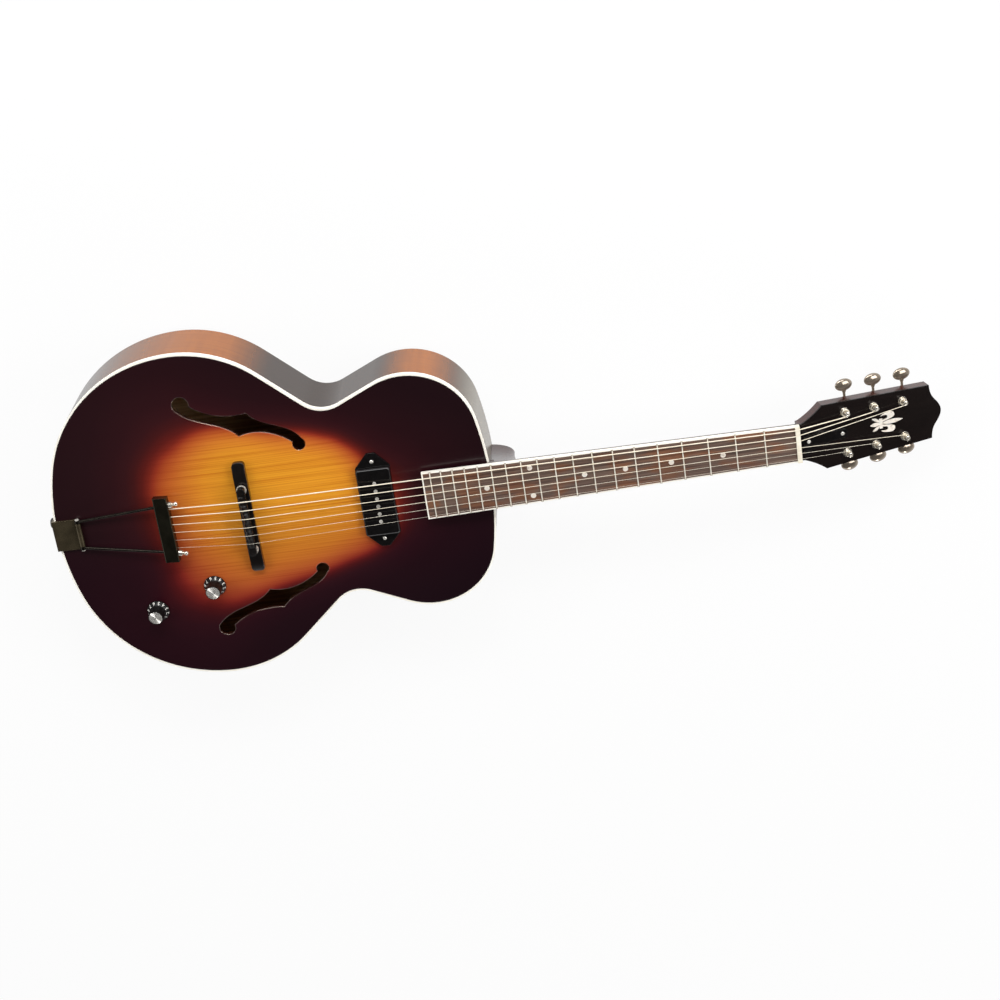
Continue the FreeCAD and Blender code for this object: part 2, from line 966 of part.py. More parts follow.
def nut_point(index):
    y = string_share(index) * nut_spread
    radius = string_diameters[index] / 2
    return neck_place.multVec(Vec(nut_x, y, crown(y) + nut_action + radius))


def tuner_spot(index):
    side = 1 if index < string_count / 2 else -1
    rank = index if side > 0 else string_count - 1 - index
    u = tuner_first + rank * tuner_spacing
    return Vec(u, side * (tuner_edge - rank * tuner_taper), 0), side


def post_tangent(index):
    centre, side = tuner_spot(index)
    wrap = post_radius + wrap_clearance + string_diameters[index] / 2
    start = head_place.inverse().multVec(nut_point(index))
    gap = Vec(centre.x - start.x, centre.y - start.y, 0)
    lean = math.asin(wrap / gap.Length)
    heading = math.atan2(gap.y, gap.x) - side * lean
    run = gap.Length * math.cos(lean)
    end = Vec(start.x + run * math.cos(heading), start.y + run * math.sin(heading), string_post_height)
    return end, heading


def tube(points, radius):
    path = Part.makePolygon(points)
    section = Part.Wire([Part.Circle(points[0], points[1] - points[0], radius).toShape()])
    return path.makePipeShell([section], True, False, 1)


def tail_bar_place():
    start = Vec(tail_x + hinge_from_tail, 0, hinge_height)
    end = Vec(tail_x + rod_end_from_tail, 0, rod_end_height)
    slope = math.atan2(end.z - start.z, end.x - start.x)
    x = tail_x + bar_from_tail
    z = start.z + (x - start.x) * math.tan(slope)
    return Place(Vec(x, 0, z), Turn(Vec(0, 1, 0), -math.degrees(slope)))


def ball_point(index):
    x = bar_width / 2 - bar_wall - ball_radius
    return tail_bar_place().multVec(Vec(x, string_share(index) * tail_spread, -ball_drop))


def string_route(index):
    return [ball_point(index), saddle_point(index), nut_point(index),
            head_place.multVec(post_tangent(index)[0])]


def guitar_string(index):
    radius = string_diameters[index] / 2
    route = string_route(index)
    reach = Vec(0, ball_length / 2, 0)
    ball = bar(route[0] - reach, route[0] + reach, ball_radius)
    return tube(route, radius).fuse(ball)


def string_grooves(spare):
    return [tube(string_route(index), string_diameters[index] / 2 + spare)
            for index in range(string_count)]


# Turns of wire as pairs of tangent arcs

def leaning_arc(first, heading, last):
    chord = last - first
    flat = Vec(chord).normalize()
    bend = heading - flat * heading.dot(flat)
    angle = math.acos(max(-1.0, min(1.0, heading.dot(flat))))
    middle = (first + last) * 0.5 + bend.normalize() * (chord.Length / 2 * math.tan(angle / 2))
    return arc(first, middle, last)


def arc_pair(first, heading, last, final):
    gap = last - first
    both = heading + final
    spread = 2 * (1 - heading.dot(final))
    mixed = gap.dot(both)
    reach = (-mixed + math.sqrt(mixed ** 2 + spread * gap.dot(gap))) / spread
    joint = (first + heading * reach + last - final * reach) * 0.5
    return [leaning_arc(first, heading, joint), leaning_arc(last, final * -1, joint)]


def wire_wrap(index):
    centre, side = tuner_spot(index)
    diameter = string_diameters[index]
    end, heading = post_tangent(index)
    radius = post_radius + wrap_clearance + diameter / 2
    rise = -(diameter + wrap_step)
    start_angle = math.atan2(end.y - centre.y, end.x - centre.x)
    top = string_post_height + rise * 0.75 - diameter / 4

    def spot(turn):
        angle = start_angle + side * 2 * math.pi * turn
        out = Vec(radius * math.cos(angle), radius * math.sin(angle), top + rise * turn)
        return centre + out

    def heading_at(turn):
        angle = start_angle + side * 2 * math.pi * turn
        pace = 2 * math.pi * radius
        return Vec(-side * pace * math.sin(angle), side * pace * math.cos(angle), rise).normalize()

    turns = wrap_turns[index]
    steps = int(4 * turns)
    first = spot(0)
    edges = [line(first - heading_at(0) * diameter, first)]
    for step in range(steps):
        begin = step / 4
        close = (step + 1) / 4
        edges.extend(arc_pair(spot(begin), heading_at(begin), spot(close), heading_at(close)))
    last = spot(turns)
    edges.append(line(last, last + heading_at(turns) * diameter))
    path = Part.Wire(Part.__sortEdges__(edges))
    start = first - heading_at(0) * diameter
    section = Part.Wire([Part.Circle(start, heading_at(0), diameter / 2).toShape()])
    wrap = path.makePipeShell([section], True, False)
    samples = [spot(step / 24) for step in range(int(24 * turns) + 1)]
    gap = min(samples[a].distanceToPoint(samples[b]) for a in range(len(samples))
              for b in range(a + 12, len(samples))) - diameter
    share = wrap.Volume / (math.pi * diameter ** 2 / 4 * path.Length)
    print("string %d wrap: least gap to itself %.2f mm, volume share %.3f" % (6 - index, gap, share))
    return wrap


# Tuners

def worm_axis_w():
    return -head_thickness - worm_drop


def worm_place(index):
    centre, side = tuner_spot(index)
    point = Vec(centre.x + gear_centre_distance, centre.y, worm_axis_w())
    turn = Turn(Vec(1, 0, 0), Vec(0, 0, -side), Vec(0, side, 0), "ZXY")
    return head_place.multiply(Place(point, turn))


def worm_thread():
    core = worm_radius - worm_dedendum
    outer = worm_radius + worm_addendum
    slope = math.tan(math.radians(pressure_angle))
    foot = tooth_thickness / 2 + slope * (worm_dedendum + worm_thread_sunk)
    tip = tooth_thickness / 2 - slope * worm_addendum
    length = worm_turns * worm_lead
    helix = Part.makeHelix(worm_lead, length, core)
    inner = core - worm_thread_sunk
    corners = [Vec(inner, 0, -foot), Vec(outer, 0, -tip), Vec(outer, 0, tip), Vec(inner, 0, foot)]
    section = Part.makePolygon(corners + corners[:1])
    thread = Part.Wire(helix.Edges).makePipeShell([section], True, True)
    thread.translate(Vec(0, 0, -length / 2))
    ends = lug_inner - running_fit
    core_piece = Part.makeCylinder(core, 2 * ends, Vec(0, 0, -ends))
    return core_piece.fuse(thread.common(box(Vec(-far, -far, -ends), Vec(far, far, ends))))


def button_shape():
    scale = FreeCAD.Matrix()
    scale.scale(button_size[0], button_size[2], button_size[1])
    lens = Part.makeSphere(1.0).transformGeometry(scale)
    lens.translate(Vec(0, 0, button_offset))
    return lens


def tuner_button(index):
    lug_end = lug_inner + lug_thickness
    stem_start = -lug_end - running_fit - collar_thickness
    stem = Part.makeCylinder(shaft_radius, button_offset - stem_start, Vec(0, 0, stem_start))
    collar = Part.makeCylinder(collar_radius, collar_thickness, Vec(0, 0, stem_start))
    outer_collar = Part.makeCylinder(collar_radius, collar_thickness, Vec(0, 0, lug_end + running_fit))
    neck_start = button_offset - button_size[1] - button_neck
    neck_length = button_neck + button_neck_sunk
    neck_piece = Part.makeCone(shaft_radius, shaft_radius * 2, neck_length, Vec(0, 0, neck_start))
    shape = worm_thread().fuse([stem, collar, outer_collar, neck_piece, button_shape()])
    return put(shape.removeSplitter(), worm_place(index))


def gear_wheel():
    root = gear_radius - gear_dedendum
    tip = gear_radius + gear_addendum
    slope = math.tan(math.radians(pressure_angle))
    root_half = (tooth_thickness / 2 + slope * gear_dedendum) / root
    tip_half = (tooth_thickness / 2 - slope * gear_addendum) / tip
    points = []
    for tooth in range(gear_teeth):
        middle = 2 * math.pi * tooth / gear_teeth
        for radius, lean in ((root, -root_half), (tip, -tip_half), (tip, tip_half), (root, root_half)):
            angle = middle + lean
            points.append(Vec(radius * math.cos(angle), radius * math.sin(angle), 0))
    return polygon_face(points).extrude(Vec(0, 0, gear_width))


def tuner_post(index):
    centre, side = tuner_spot(index)
    gear_low = worm_axis_w() - gear_width / 2
    gear_high = gear_low + gear_width
    plate_low = -head_thickness - tuner_plate_thickness
    wheel = gear_wheel()
    wheel.translate(Vec(0, 0, gear_low))
    stem = Part.makeCylinder(post_radius, post_top - gear_low, Vec(0, 0, gear_low))
    shoulder = Part.makeCylinder(post_radius + post_collar, plate_low - running_fit - gear_high,
                                 Vec(0, 0, gear_high))
    cap = Part.makeCylinder(screw_head_radius, screw_head_height, Vec(0, 0, gear_low - screw_head_height))
    shape = stem.fuse([wheel, shoulder, cap])
    hole = bar(Vec(0, -far, string_post_height), Vec(0, far, string_post_height), string_diameters[0] / 2)
    shape = shape.cut(hole)
    shape.translate(centre)
    return put(shape.removeSplitter(), head_place)


def post_with_wrap(index):
    return solids_of([tuner_post(index), put(wire_wrap(index), head_place)])


def tuner_bushing(index):
    centre, side = tuner_spot(index)
    depth = head_thickness + veneer_thickness
    sleeve = Part.makeCylinder(bushing_radius, depth, Vec(0, 0, -head_thickness))
    lip = Part.makeCylinder(bushing_flange, bushing_lip, Vec(0, 0, veneer_thickness))
    bore = Part.makeCylinder(post_radius + running_fit, far, Vec(0, 0, -far / 2))
    shape = sleeve.fuse(lip).cut(bore)
    shape.translate(centre)
    return put(shape, head_place)


def tuner_holes():
    holes = []
    for index in range(string_count):
        centre = tuner_spot(index)[0]
        holes.append(put(Part.makeCylinder(bushing_radius, far, centre - Vec(0, 0, far / 2)), head_place))
    return holes


def plate_screw_offsets():
    outer = gear_centre_distance + worm_radius + worm_addendum + screw_head_radius + tuner_screw_gap
    return (-(gear_radius + gear_addendum + screw_head_radius), outer)


def tuner_plate(index):
    centre, side = tuner_spot(index)
    low_u, high_u = plate_screw_offsets()
    edge = screw_head_radius + tuner_plate_edge
    top = -head_thickness
    low = top - tuner_plate_thickness
    half = tuner_plate_width / 2
    plate = box(Vec(low_u - edge, -half, low), Vec(high_u + edge, half, top))
    corners = [e for e in plate.Edges if abs(e.Vertexes[0].Z - e.Vertexes[1].Z) > tuner_plate_thickness / 2]
    plate = plate.makeFillet(screw_head_radius, corners)
    lugs = []
    lug_low = worm_axis_w() - lug_half_width + lug_trim
    for sign in (1, -1):
        first = sign * lug_inner
        second = sign * (lug_inner + lug_thickness)
        lugs.append(box(Vec(gear_centre_distance - lug_half_width, min(first, second), lug_low),
                        Vec(gear_centre_distance + lug_half_width, max(first, second), low)))
    post_hole = Part.makeCylinder(post_radius + running_fit, far, Vec(0, 0, -far / 2))
    shaft_middle = Vec(gear_centre_distance, 0, worm_axis_w())
    shaft_reach = Vec(0, tuner_plate_width, 0)
    shaft_hole = bar(shaft_middle - shaft_reach, shaft_middle + shaft_reach, shaft_radius + running_fit)
    shape = plate.fuse(lugs).cut([post_hole, shaft_hole])
    shape.translate(centre)
    return put(shape.removeSplitter(), head_place)


# Screws

def screw(point, axis, length):
    shank = screw_shank_radius
    head = screw_head_radius
    rise = screw_head_height
    profile = ((0, -length), (shank * screw_point_share, -length), (shank, -length + screw_point_length),
               (shank, 0), (head, 0), (head, rise * screw_rim_share), (head * screw_crown_share, rise),
               (0, rise))
    return put(turned(profile), aim(point, axis))


def small_screws():
    screws = []
    head_out = head_place.Rotation.multVec(Vec(0, 0, 1))
    for u in cover_screws:
        point = head_place.multVec(Vec(u, 0, veneer_thickness + cover_thickness))
        screws.append(screw(point, head_out, small_screw_length + cover_thickness))
    plate_low = -head_thickness - tuner_plate_thickness
    for index in range(string_count):
        centre = tuner_spot(index)[0]
        for offset in plate_screw_offsets():
            point = head_place.multVec(Vec(centre.x + offset, centre.y, plate_low))
            screws.append(screw(point, head_out * -1, screw_length))
    for side in (1, -1):
        place = (pickup_x, side * ear_screw_spread / 2)
        point = on_top(*place) + top_normal(*place) * pickup_ear
        screws.append(screw(point, top_normal(*place), small_screw_length + pickup_ear))
    for y, z in bracket_screw_spots():
        point = Vec(tail_x - bracket_thickness, y, z)
        screws.append(screw(point, Vec(-1, 0, 0), 2 * screw_length))
    return screws


def bracket_screw_spots():
    side = hinge_width / 2 - bracket_screw_inset
    high = strap_height + bracket_screw_up
    return ((side, high), (-side, high), (0, strap_height - bracket_screw_down))


# Bridge

def bridge_base():
    half = bridge_length / 2
    plan = box(Vec(-bridge_width / 2, -half, 0), Vec(bridge_width / 2, half, far))
    uprights = [e for e in plan.Edges if abs(e.Vertexes[0].Z - e.Vertexes[1].Z) > 1]
    plan = plan.makeFillet(bridge_corner, uprights)
    flat = bridge_flat_length / 2
    end_top = on_top(saddle_x, half).z + bridge_end_rise
    x = -bridge_width
    shoulder_z = (bridge_top + end_top) / 2 + bridge_shoulder_up
    shoulder = Vec(x, (flat + half) / 2 + bridge_shoulder_out, shoulder_z)
    other = Vec(x, -shoulder.y, shoulder.z)
    edges = [line(Vec(x, -half - 1, 0), Vec(x, half + 1, 0))]
    edges.append(line(Vec(x, half + 1, 0), Vec(x, half + 1, end_top)))
    edges.append(spline([Vec(x, half + 1, end_top), shoulder, Vec(x, flat, bridge_top)]))
    edges.append(line(Vec(x, flat, bridge_top), Vec(x, -flat, bridge_top)))
    edges.append(spline([Vec(x, -flat, bridge_top), other, Vec(x, -half - 1, end_top)]))
    edges.append(line(Vec(x, -half - 1, end_top), Vec(x, -half - 1, 0)))
    front = Part.Face(Part.Wire(edges)).extrude(Vec(2 * bridge_width, 0, 0))
    blank = plan.common(front)
    blank.translate(Vec(saddle_x, 0, 0))
    relief = layer(top_face, -1, bridge_relief)
    relief_half = bridge_relief_length / 2
    span = box(Vec(-2 * far, -relief_half, -far), Vec(far, relief_half, far))
    return blank.cut([envelope, relief.common(span)] + bridge_posts_list())


def wheel_point(side):
    return Vec(saddle_x, side * wheel_spread / 2, saddle_bottom - wheel_thickness)


def bridge_posts_list():
    posts = []
    for side in (1, -1):
        point = wheel_point(side)
        low = bridge_top - bridge_post_depth
        high = saddle_bottom + bridge_post_reach
        posts.append(Part.makeCylinder(bridge_post_radius, high - low, Vec(point.x, point.y, low)))
    return posts


def thumbwheel(side):
    points = []
    for step in range(2 * wheel_notches):
        angle = math.pi * step / wheel_notches
        radius = wheel_radius - (wheel_notch_depth if step % 2 else 0)
        points.append(Vec(radius * math.cos(angle), radius * math.sin(angle), 0))
    disc = polygon_face(points).extrude(Vec(0, 0, wheel_thickness))
    disc = disc.cut(Part.makeCylinder(bridge_post_radius + running_fit, wheel_thickness))
    disc.translate(wheel_point(side))
    return disc


def bridge_saddle():
    half_x = saddle_width / 2
    half_y = saddle_length / 2
    ear_top = saddle_bottom + saddle_ear_height
    body = box(Vec(-half_x, -half_y, saddle_bottom), Vec(half_x, half_y, ear_top))
    uprights = [e for e in body.Edges if abs(e.Vertexes[0].Z - e.Vertexes[1].Z) > 1]
    body = body.makeFillet(half_x * saddle_end_share, uprights)
    pitch = saddle_spread / (string_count - 1)
    crests = []
    for index in range(string_count):
        y = string_share(index) * saddle_spread
        shift = crest_offsets[index]
        top = saddle_crest + crown(y)
        begin = y - pitch / 2
        foot = ear_top - crest_sunk
        half_crest = crest_width / 2
        section = polygon_face([Vec(-half_x, begin, foot), Vec(half_x, begin, foot),
                                Vec(shift + half_crest, begin, top), Vec(shift - half_crest, begin, top)])
        crests.append(section.extrude(Vec(0, pitch, 0)))
    shape = body.fuse(crests)
    shape.translate(Vec(saddle_x, 0, 0))
    bores = []
    depth = bridge_post_reach + saddle_bore_spare
    for side in (1, -1):
        point = wheel_point(side)
        centre = Vec(point.x, point.y, saddle_bottom - 1)
        bores.append(Part.makeCylinder(bridge_post_radius + running_fit, depth + 1, centre))
    return shape.cut(bores + string_grooves(groove_clearance)).removeSplitter()


# Tailpiece and strap button

def hinge_point():
    return Vec(tail_x + hinge_from_tail, 0, hinge_height)


def rod_line(side):
    eye_middle = hinge_width / 2 - rod_eye_width / 2
    start = hinge_point() + Vec(0, side * eye_middle, 0)
    end = Vec(tail_x + rod_end_from_tail, side * rod_bar_spread / 2, rod_end_height)
    return start, end


def hinge_bore(radius):
    reach = Vec(0, hinge_width, 0)
    return bar(hinge_point() - reach, hinge_point() + reach, radius)


def tailpiece_bracket():
    half = hinge_width / 2
    leaf = box(Vec(tail_x - bracket_thickness, -half, -1), Vec(hinge_point().x, half, bracket_rise))
    outside = tail_x - bracket_thickness
    drop = box(Vec(outside, -half, -bracket_drop), Vec(tail_x + side_thickness, half, bracket_rise))
    corners = [e for e in drop.Edges
               if abs(e.Vertexes[0].X - e.Vertexes[1].X) > 1 and e.CenterOfMass.z < -bracket_drop / 2]
    drop = drop.makeFillet(half * bracket_round_share, corners)
    inner = half - rod_eye_width - running_fit
    knuckle = bar(hinge_point() - Vec(0, inner, 0), hinge_point() + Vec(0, inner, 0), hinge_radius)
    web = box(Vec(hinge_point().x - hinge_radius, -inner, 0), Vec(hinge_point().x, inner, hinge_height))
    eye_room = []
    for side in (1, -1):
        middle = hinge_point() + Vec(0, side * (half + inner) / 2, 0)
        reach = Vec(0, (half - inner) / 2 + 0.01, 0)
        eye_room.append(bar(middle - reach, middle + reach, rod_eye_radius + rod_eye_gap))
    shape = leaf.fuse([drop, knuckle, web])
    shape = shape.cut(envelope).cut(below_edge)
    shape = shape.cut([hinge_bore(hinge_pin_radius)] + eye_room + bore_list)
    return shape.removeSplitter()


def hinge_pin():
    half = hinge_width / 2 + running_fit
    reach = Vec(0, half, 0)
    pin = bar(hinge_point() - reach, hinge_point() + reach, hinge_pin_radius)
    heads = []
    for side in (1, -1):
        start = hinge_point() + Vec(0, side * half, 0)
        heads.append(bar(start, start + Vec(0, side * hinge_head_length, 0), hinge_pin_head))
    return pin.fuse(heads)


def tail_rod(side):
    start, end = rod_line(side)
    reach = Vec(0, rod_eye_width / 2, 0)
    eye = bar(start - reach, start + reach, rod_eye_radius)
    shape = bar(start, end, tail_rod_radius).fuse([eye, Part.makeSphere(rod_ball_radius, end)])
    return shape.cut(hinge_bore(hinge_pin_radius + running_fit))


def rod_nut(side):
    start, end = rod_line(side)
    heading = Vec(end - start).normalize()
    front = tail_bar_place().multVec(Vec(bar_width / 2, 0, 0)).x
    share = (front - start.x) / heading.x
    begin = start + heading * (share + end_nut_gap)
    nut_piece = bar(begin, begin + heading * end_nut_length, end_nut_radius)
    return nut_piece.cut(bar(start, end, tail_rod_radius))


def tailpiece_rods():
    pieces = []
    for side in (1, -1):
        pieces.append(tail_rod(side))
        pieces.append(rod_nut(side))
    return solids_of(pieces)


def tailpiece_bar():
    half_x = bar_width / 2
    half_y = bar_length / 2
    low = -bar_height / 2
    high = bar_height / 2
    shape = box(Vec(-half_x, -half_y, low), Vec(half_x, half_y, high))
    rounded = [e for e in shape.Edges if e.CenterOfMass.z > high - 0.1 and e.Length > bar_length / 2]
    shape = shape.makeFillet(bar_round, rounded)
    room_x = half_x - bar_wall
    room_y = half_y - bar_wall
    hollow = box(Vec(-room_x, -room_y, low - 1), Vec(room_x, room_y, high - bar_wall))
    shape = put(shape.cut(hollow), tail_bar_place())
    holes = string_grooves(groove_clearance + bar_hole_spare)
    for side in (1, -1):
        start, end = rod_line(side)
        holes.append(bar(start, end, tail_rod_radius + running_fit))
    return shape.cut(holes)


def strap_place():
    return aim(Vec(tail_x - bracket_thickness, 0, strap_height), Vec(-1, 0, 0))


def strap_shank():
    shank = Part.makeCylinder(screw_shank_radius, 2 * screw_length, Vec(0, 0, -2 * screw_length))
    return put(shank, strap_place())


def strap_button():
    profile = ((0, 0), (strap_base_radius, 0), (strap_base_radius, strap_base_height),
               (strap_waist_radius, strap_waist_low), (strap_waist_radius, strap_waist_high),
               (strap_head_radius, strap_head_low), (strap_head_radius, strap_head_high),
               (strap_head_radius - strap_crown, strap_length), (0, strap_length))
    return put(turned(profile), strap_place()).fuse(strap_shank())


# Pickup

def pickup_outline(inset, z):
    half_w = pickup_width / 2 - inset
    body = pickup_body / 2 - inset
    tip = pickup_length / 2 - inset
    half_tip = pickup_tip / 2
    points = []
    for x, y in ((-half_w, -body), (-half_tip, -tip), (half_tip, -tip), (half_w, -body),
                 (half_w, body), (half_tip, tip), (-half_tip, tip), (-half_w, body)):
        points.append(Vec(pickup_x + x, y, z))
    return points


def pickup_block(inset, low, high):
    half = Vec(pickup_width / 2 - inset, pickup_body / 2 - inset, 0)
    centre = Vec(pickup_x, 0, 0)
    return box(centre - half + Vec(0, 0, low), centre + half + Vec(0, 0, high))


def pole_spots():
    return [Vec(pickup_x, string_share(index) * pole_spread, 0) for index in range(string_count)]


def pole_bores(radius):
    return [Part.makeCylinder(radius, 2 * far, spot - Vec(0, 0, far)) for spot in pole_spots()]


def pickup_cover():
    block = pickup_block(0, -plate_thickness, pickup_top)
    edges = [e for e in block.Edges if e.CenterOfMass.z > -plate_thickness + 0.1]
    block = block.makeFillet(pickup_corner, edges)
    ears = polygon_face(pickup_outline(0, -far)).extrude(Vec(0, 0, 2 * far))
    uprights = [e for e in ears.Edges if abs(e.Vertexes[0].Z - e.Vertexes[1].Z) > 1]
    ears = ears.makeFillet(pickup_corner, uprights).common(layer(top_face, 0, pickup_ear))
    hollow = pickup_block(pickup_wall, -far, pickup_top - pickup_wall)
    holes = pole_bores(pole_head_radius + running_fit)
    return block.fuse(ears).cut([envelope, hollow] + holes + screw_list).removeSplitter()


def coil_levels():
    top = pickup_top - pickup_wall - coil_gap
    low = top - bobbin_height
    return low, top


def pickup_coil():
    low, top = coil_levels()
    half = Vec(bobbin_width / 2, bobbin_length / 2, 0)
    centre = Vec(pickup_x, 0, 0)
    slab = box(centre - half + Vec(0, 0, low), centre + half + Vec(0, 0, top))
    uprights = [e for e in slab.Edges if abs(e.Vertexes[0].Z - e.Vertexes[1].Z) > 1]
    slab = slab.makeFillet(pickup_corner * 2, uprights)
    inner = Vec(bobbin_width / 2 - coil_inset, bobbin_length / 2 - coil_inset, 0)
    middle_low = low + flange_thickness
    middle_top = top - flange_thickness
    waist = slab.common(box(centre - half + Vec(0, 0, middle_low), centre + half + Vec(0, 0, middle_top)))
    keep = box(centre - inner + Vec(0, 0, middle_low), centre + inner + Vec(0, 0, middle_top))
    return slab.cut(waist.cut(keep)).cut(pole_bores(pole_shank_radius))


def pickup_magnets():
    low = coil_levels()[0]
    pieces = []
    for side in (1, -1):
        start = pole_shank_radius + magnet_gap
        first = pickup_x + side * start
        second = pickup_x + side * (start + magnet_width)
        pieces.append(box(Vec(min(first, second), -magnet_length / 2, low - magnet_height),
                          Vec(max(first, second), magnet_length / 2, low)))
    return solids_of(pieces)


def pickup_base():
    high = coil_levels()[0] - magnet_height
    half = Vec(bobbin_width / 2, bobbin_length / 2, 0)
    centre = Vec(pickup_x, 0, high)
    plate = box(centre - half - Vec(0, 0, base_thickness), centre + half)
    return plate.cut(pole_bores(pole_shank_radius))


def pole_screw(spot):
    low = coil_levels()[0] - magnet_height - base_thickness - pole_foot
    top = pickup_top + pole_rise
    shank = Part.makeCylinder(pole_shank_radius, top - low, Vec(spot.x, spot.y, low))
    head_low = Vec(spot.x, spot.y, top - pole_head_height)
    head = Part.makeCylinder(pole_head_radius, pole_head_height, head_low)
    half = pole_slot_width / 2
    slot = box(Vec(spot.x - far, spot.y - half, top - pole_slot_depth), Vec(spot.x + far, spot.y + half, far))
    return shank.fuse(head).cut(slot)


# Controls

def control_place(place):
    return aim(on_top(*place), top_normal(*place))


def knob(place):
    low = knob_gap
    top = low + knob_height
    seat = top - insert_thickness
    hub = seat - knob_roof
    hollow = low + knob_hollow_height
    brow = low + knob_skirt_height
    profile = ((pot_shaft_radius, hollow), (knob_hollow_radius, hollow), (knob_hollow_radius, low),
               (knob_skirt_radius, low), (knob_skirt_radius, low + knob_skirt_edge),
               (knob_shoulder_radius, brow),
               (knob_cap_radius + knob_neck_spread, brow + knob_neck_height),
               (knob_cap_radius, top - knob_rim_height), (knob_cap_radius - knob_rim_inset, top),
               (insert_radius, top), (insert_radius, seat), (0, seat), (0, hub), (pot_shaft_radius, hub))
    shaft_low = -plate_thickness - pot_gap - pot_height / 2
    shaft = Part.makeCylinder(pot_shaft_radius, hub - shaft_low, Vec(0, 0, shaft_low))
    return solids_of([put(turned(profile), control_place(place)), put(shaft, control_place(place))])


def knob_insert(place):
    top = knob_gap + knob_height
    disc = Part.makeCylinder(insert_radius, insert_thickness, Vec(0, 0, top - insert_thickness))
    return put(disc, control_place(place))


def pot(place):
    high = -plate_thickness - pot_gap
    bore_radius = pot_shaft_radius + running_fit
    can = Part.makeCylinder(pot_radius, pot_height, Vec(0, 0, high - pot_height))
    bush = Part.makeCylinder(pot_bushing_radius, pot_bushing_rise - high, Vec(0, 0, high))
    nut_piece = Part.makeCylinder(pot_nut_radius, pot_nut_height, Vec(0, 0, pot_gap))
    depth = pot_height / 2 + pot_bore_spare
    bore = Part.makeCylinder(bore_radius, far, Vec(0, 0, high - depth))
    return put(can.fuse([bush, nut_piece]).cut(bore), control_place(place))


def output_jack():
    seat, axis = jack_frame()
    barrel = bar(seat - axis * jack_inside, seat + axis * jack_outside, jack_barrel_radius)
    shoulder_high = -side_thickness - pot_gap
    shoulder_low = shoulder_high - jack_shoulder_length
    shoulder = bar(seat + axis * shoulder_low, seat + axis * shoulder_high, jack_shoulder_radius)
    bore = bar(seat - axis * far, seat + axis * far, jack_bore_radius)
    body = barrel.fuse(shoulder).cut(bore)
    washer = bar(seat, seat + axis * jack_washer_height, jack_washer_radius)
    nut_low = jack_washer_height
    corners = []
    for step in range(6):
        angle = math.pi * step / 3
        corners.append(Vec(jack_nut_radius * math.cos(angle), jack_nut_radius * math.sin(angle), nut_low))
    hexagon = put(polygon_face(corners).extrude(Vec(0, 0, jack_nut_height)), aim(seat, axis))
    ring_bore = bar(seat - axis * far, seat + axis * far, jack_barrel_radius)
    return solids_of([body, washer.cut(ring_bore), hexagon.cut(ring_bore)])


def wire_run(points, radius):
    edges = []
    last = points[0]
    for before, corner, after in zip(points, points[1:], points[2:]):
        into = Vec(corner - before).normalize()
        out = Vec(after - corner).normalize()
        half = math.acos(max(-1.0, min(1.0, into.dot(out)))) / 2
        reach = wire_bend * math.tan(half)
        first = corner - into * reach
        final = corner + out * reach
        sag = wire_bend * (1 / math.cos(half) - 1)
        middle = corner + Vec(out - into).normalize() * sag
        edges.append(line(last, first))
        edges.append(arc(first, middle, final))
        last = final
    edges.append(line(last, points[-1]))
    path = Part.Wire(edges)
    section = Part.Wire([Part.Circle(points[0], Vec(points[1] - points[0]), radius).toShape()])
    return path.makePipeShell([section], True, False)


def pot_foot(place, side_step):
    depth = plate_thickness + pot_gap + pot_height
    return control_place(place).multVec(Vec(side_step, 0, -depth - wire_gap))


def wiring():
    low = coil_levels()[0] - magnet_height - base_thickness - wire_gap
    start = Vec(pickup_x, -bobbin_length / 4, low)
    volume_in = pot_foot(volume_at, wire_step)
    volume_out = pot_foot(volume_at, -wire_step)
    tone_in = pot_foot(tone_at, wire_step)
    tone_out = pot_foot(tone_at, -wire_step)
    seat, axis = jack_frame()
    jack_tail = seat - axis * (jack_inside + wire_gap)
    lead = wire_run([start, Vec(start.x, start.y, wire_depth), Vec(volume_in.x, volume_in.y, wire_depth),
                     volume_in], wire_radius)
    link = wire_run([volume_out, Vec(volume_out.x, volume_out.y, wire_depth),
                     Vec(tone_in.x, tone_in.y, wire_depth), tone_in], wire_radius)
    inward = jack_tail - axis * 3 * wire_bend
    turn = Vec(tone_out.x, tone_out.y, inward.z)
    out = wire_run([tone_out, turn, inward, jack_tail], wire_radius)
    cap_middle = pot_foot(tone_at, 0) - Vec(0, 0, capacitor_radius + pot_gap)
    cap_reach = Vec(0, capacitor_length / 2, 0)
    capacitor = bar(cap_middle - cap_reach, cap_middle + cap_reach, capacitor_radius)
    return solids_of([lead, link, out, capacitor])


# Assembly

screw_list = small_screws()
bore_list = screw_list + [strap_shank()]


def neck():
    shape = neck_shaft().fuse([heel(), neck_extension()])
    shape = shape.cut(envelope).cut(below_edge)
    head_core = put(head_plate(-head_thickness, 0), head_place)
    shape = shape.fuse([head_core, tenon_block().common(prism(0, -far, far))])
    tools = tuner_holes() + [rod_slot(), rod_end(), rod_pocket()] + screw_list
    return shape.cut(tools).removeSplitter()


def headstock_veneer():
    sheet = put(head_plate(0, veneer_thickness), head_place)
    return sheet.cut(tuner_holes() + [rod_pocket(), lily_piece] + screw_list)


def fingerboard():
    core = blank.common(board_core())
    tools = [tang(number, tang_clearance) for number in range(1, fret_count + 1)] + marker_pegs()
    return put(core.cut(tools), neck_place)


def fret_markers():
    return solids_of([put(peg.common(blank), neck_place) for peg in marker_pegs()])


def nut():
    low = Vec(nut_x, -nut_width / 2, -board_thickness)
    block = put(box(low, Vec(nut_x + nut_thickness, nut_width / 2, nut_rise)), neck_place)
    return block.cut(string_grooves(groove_clearance))


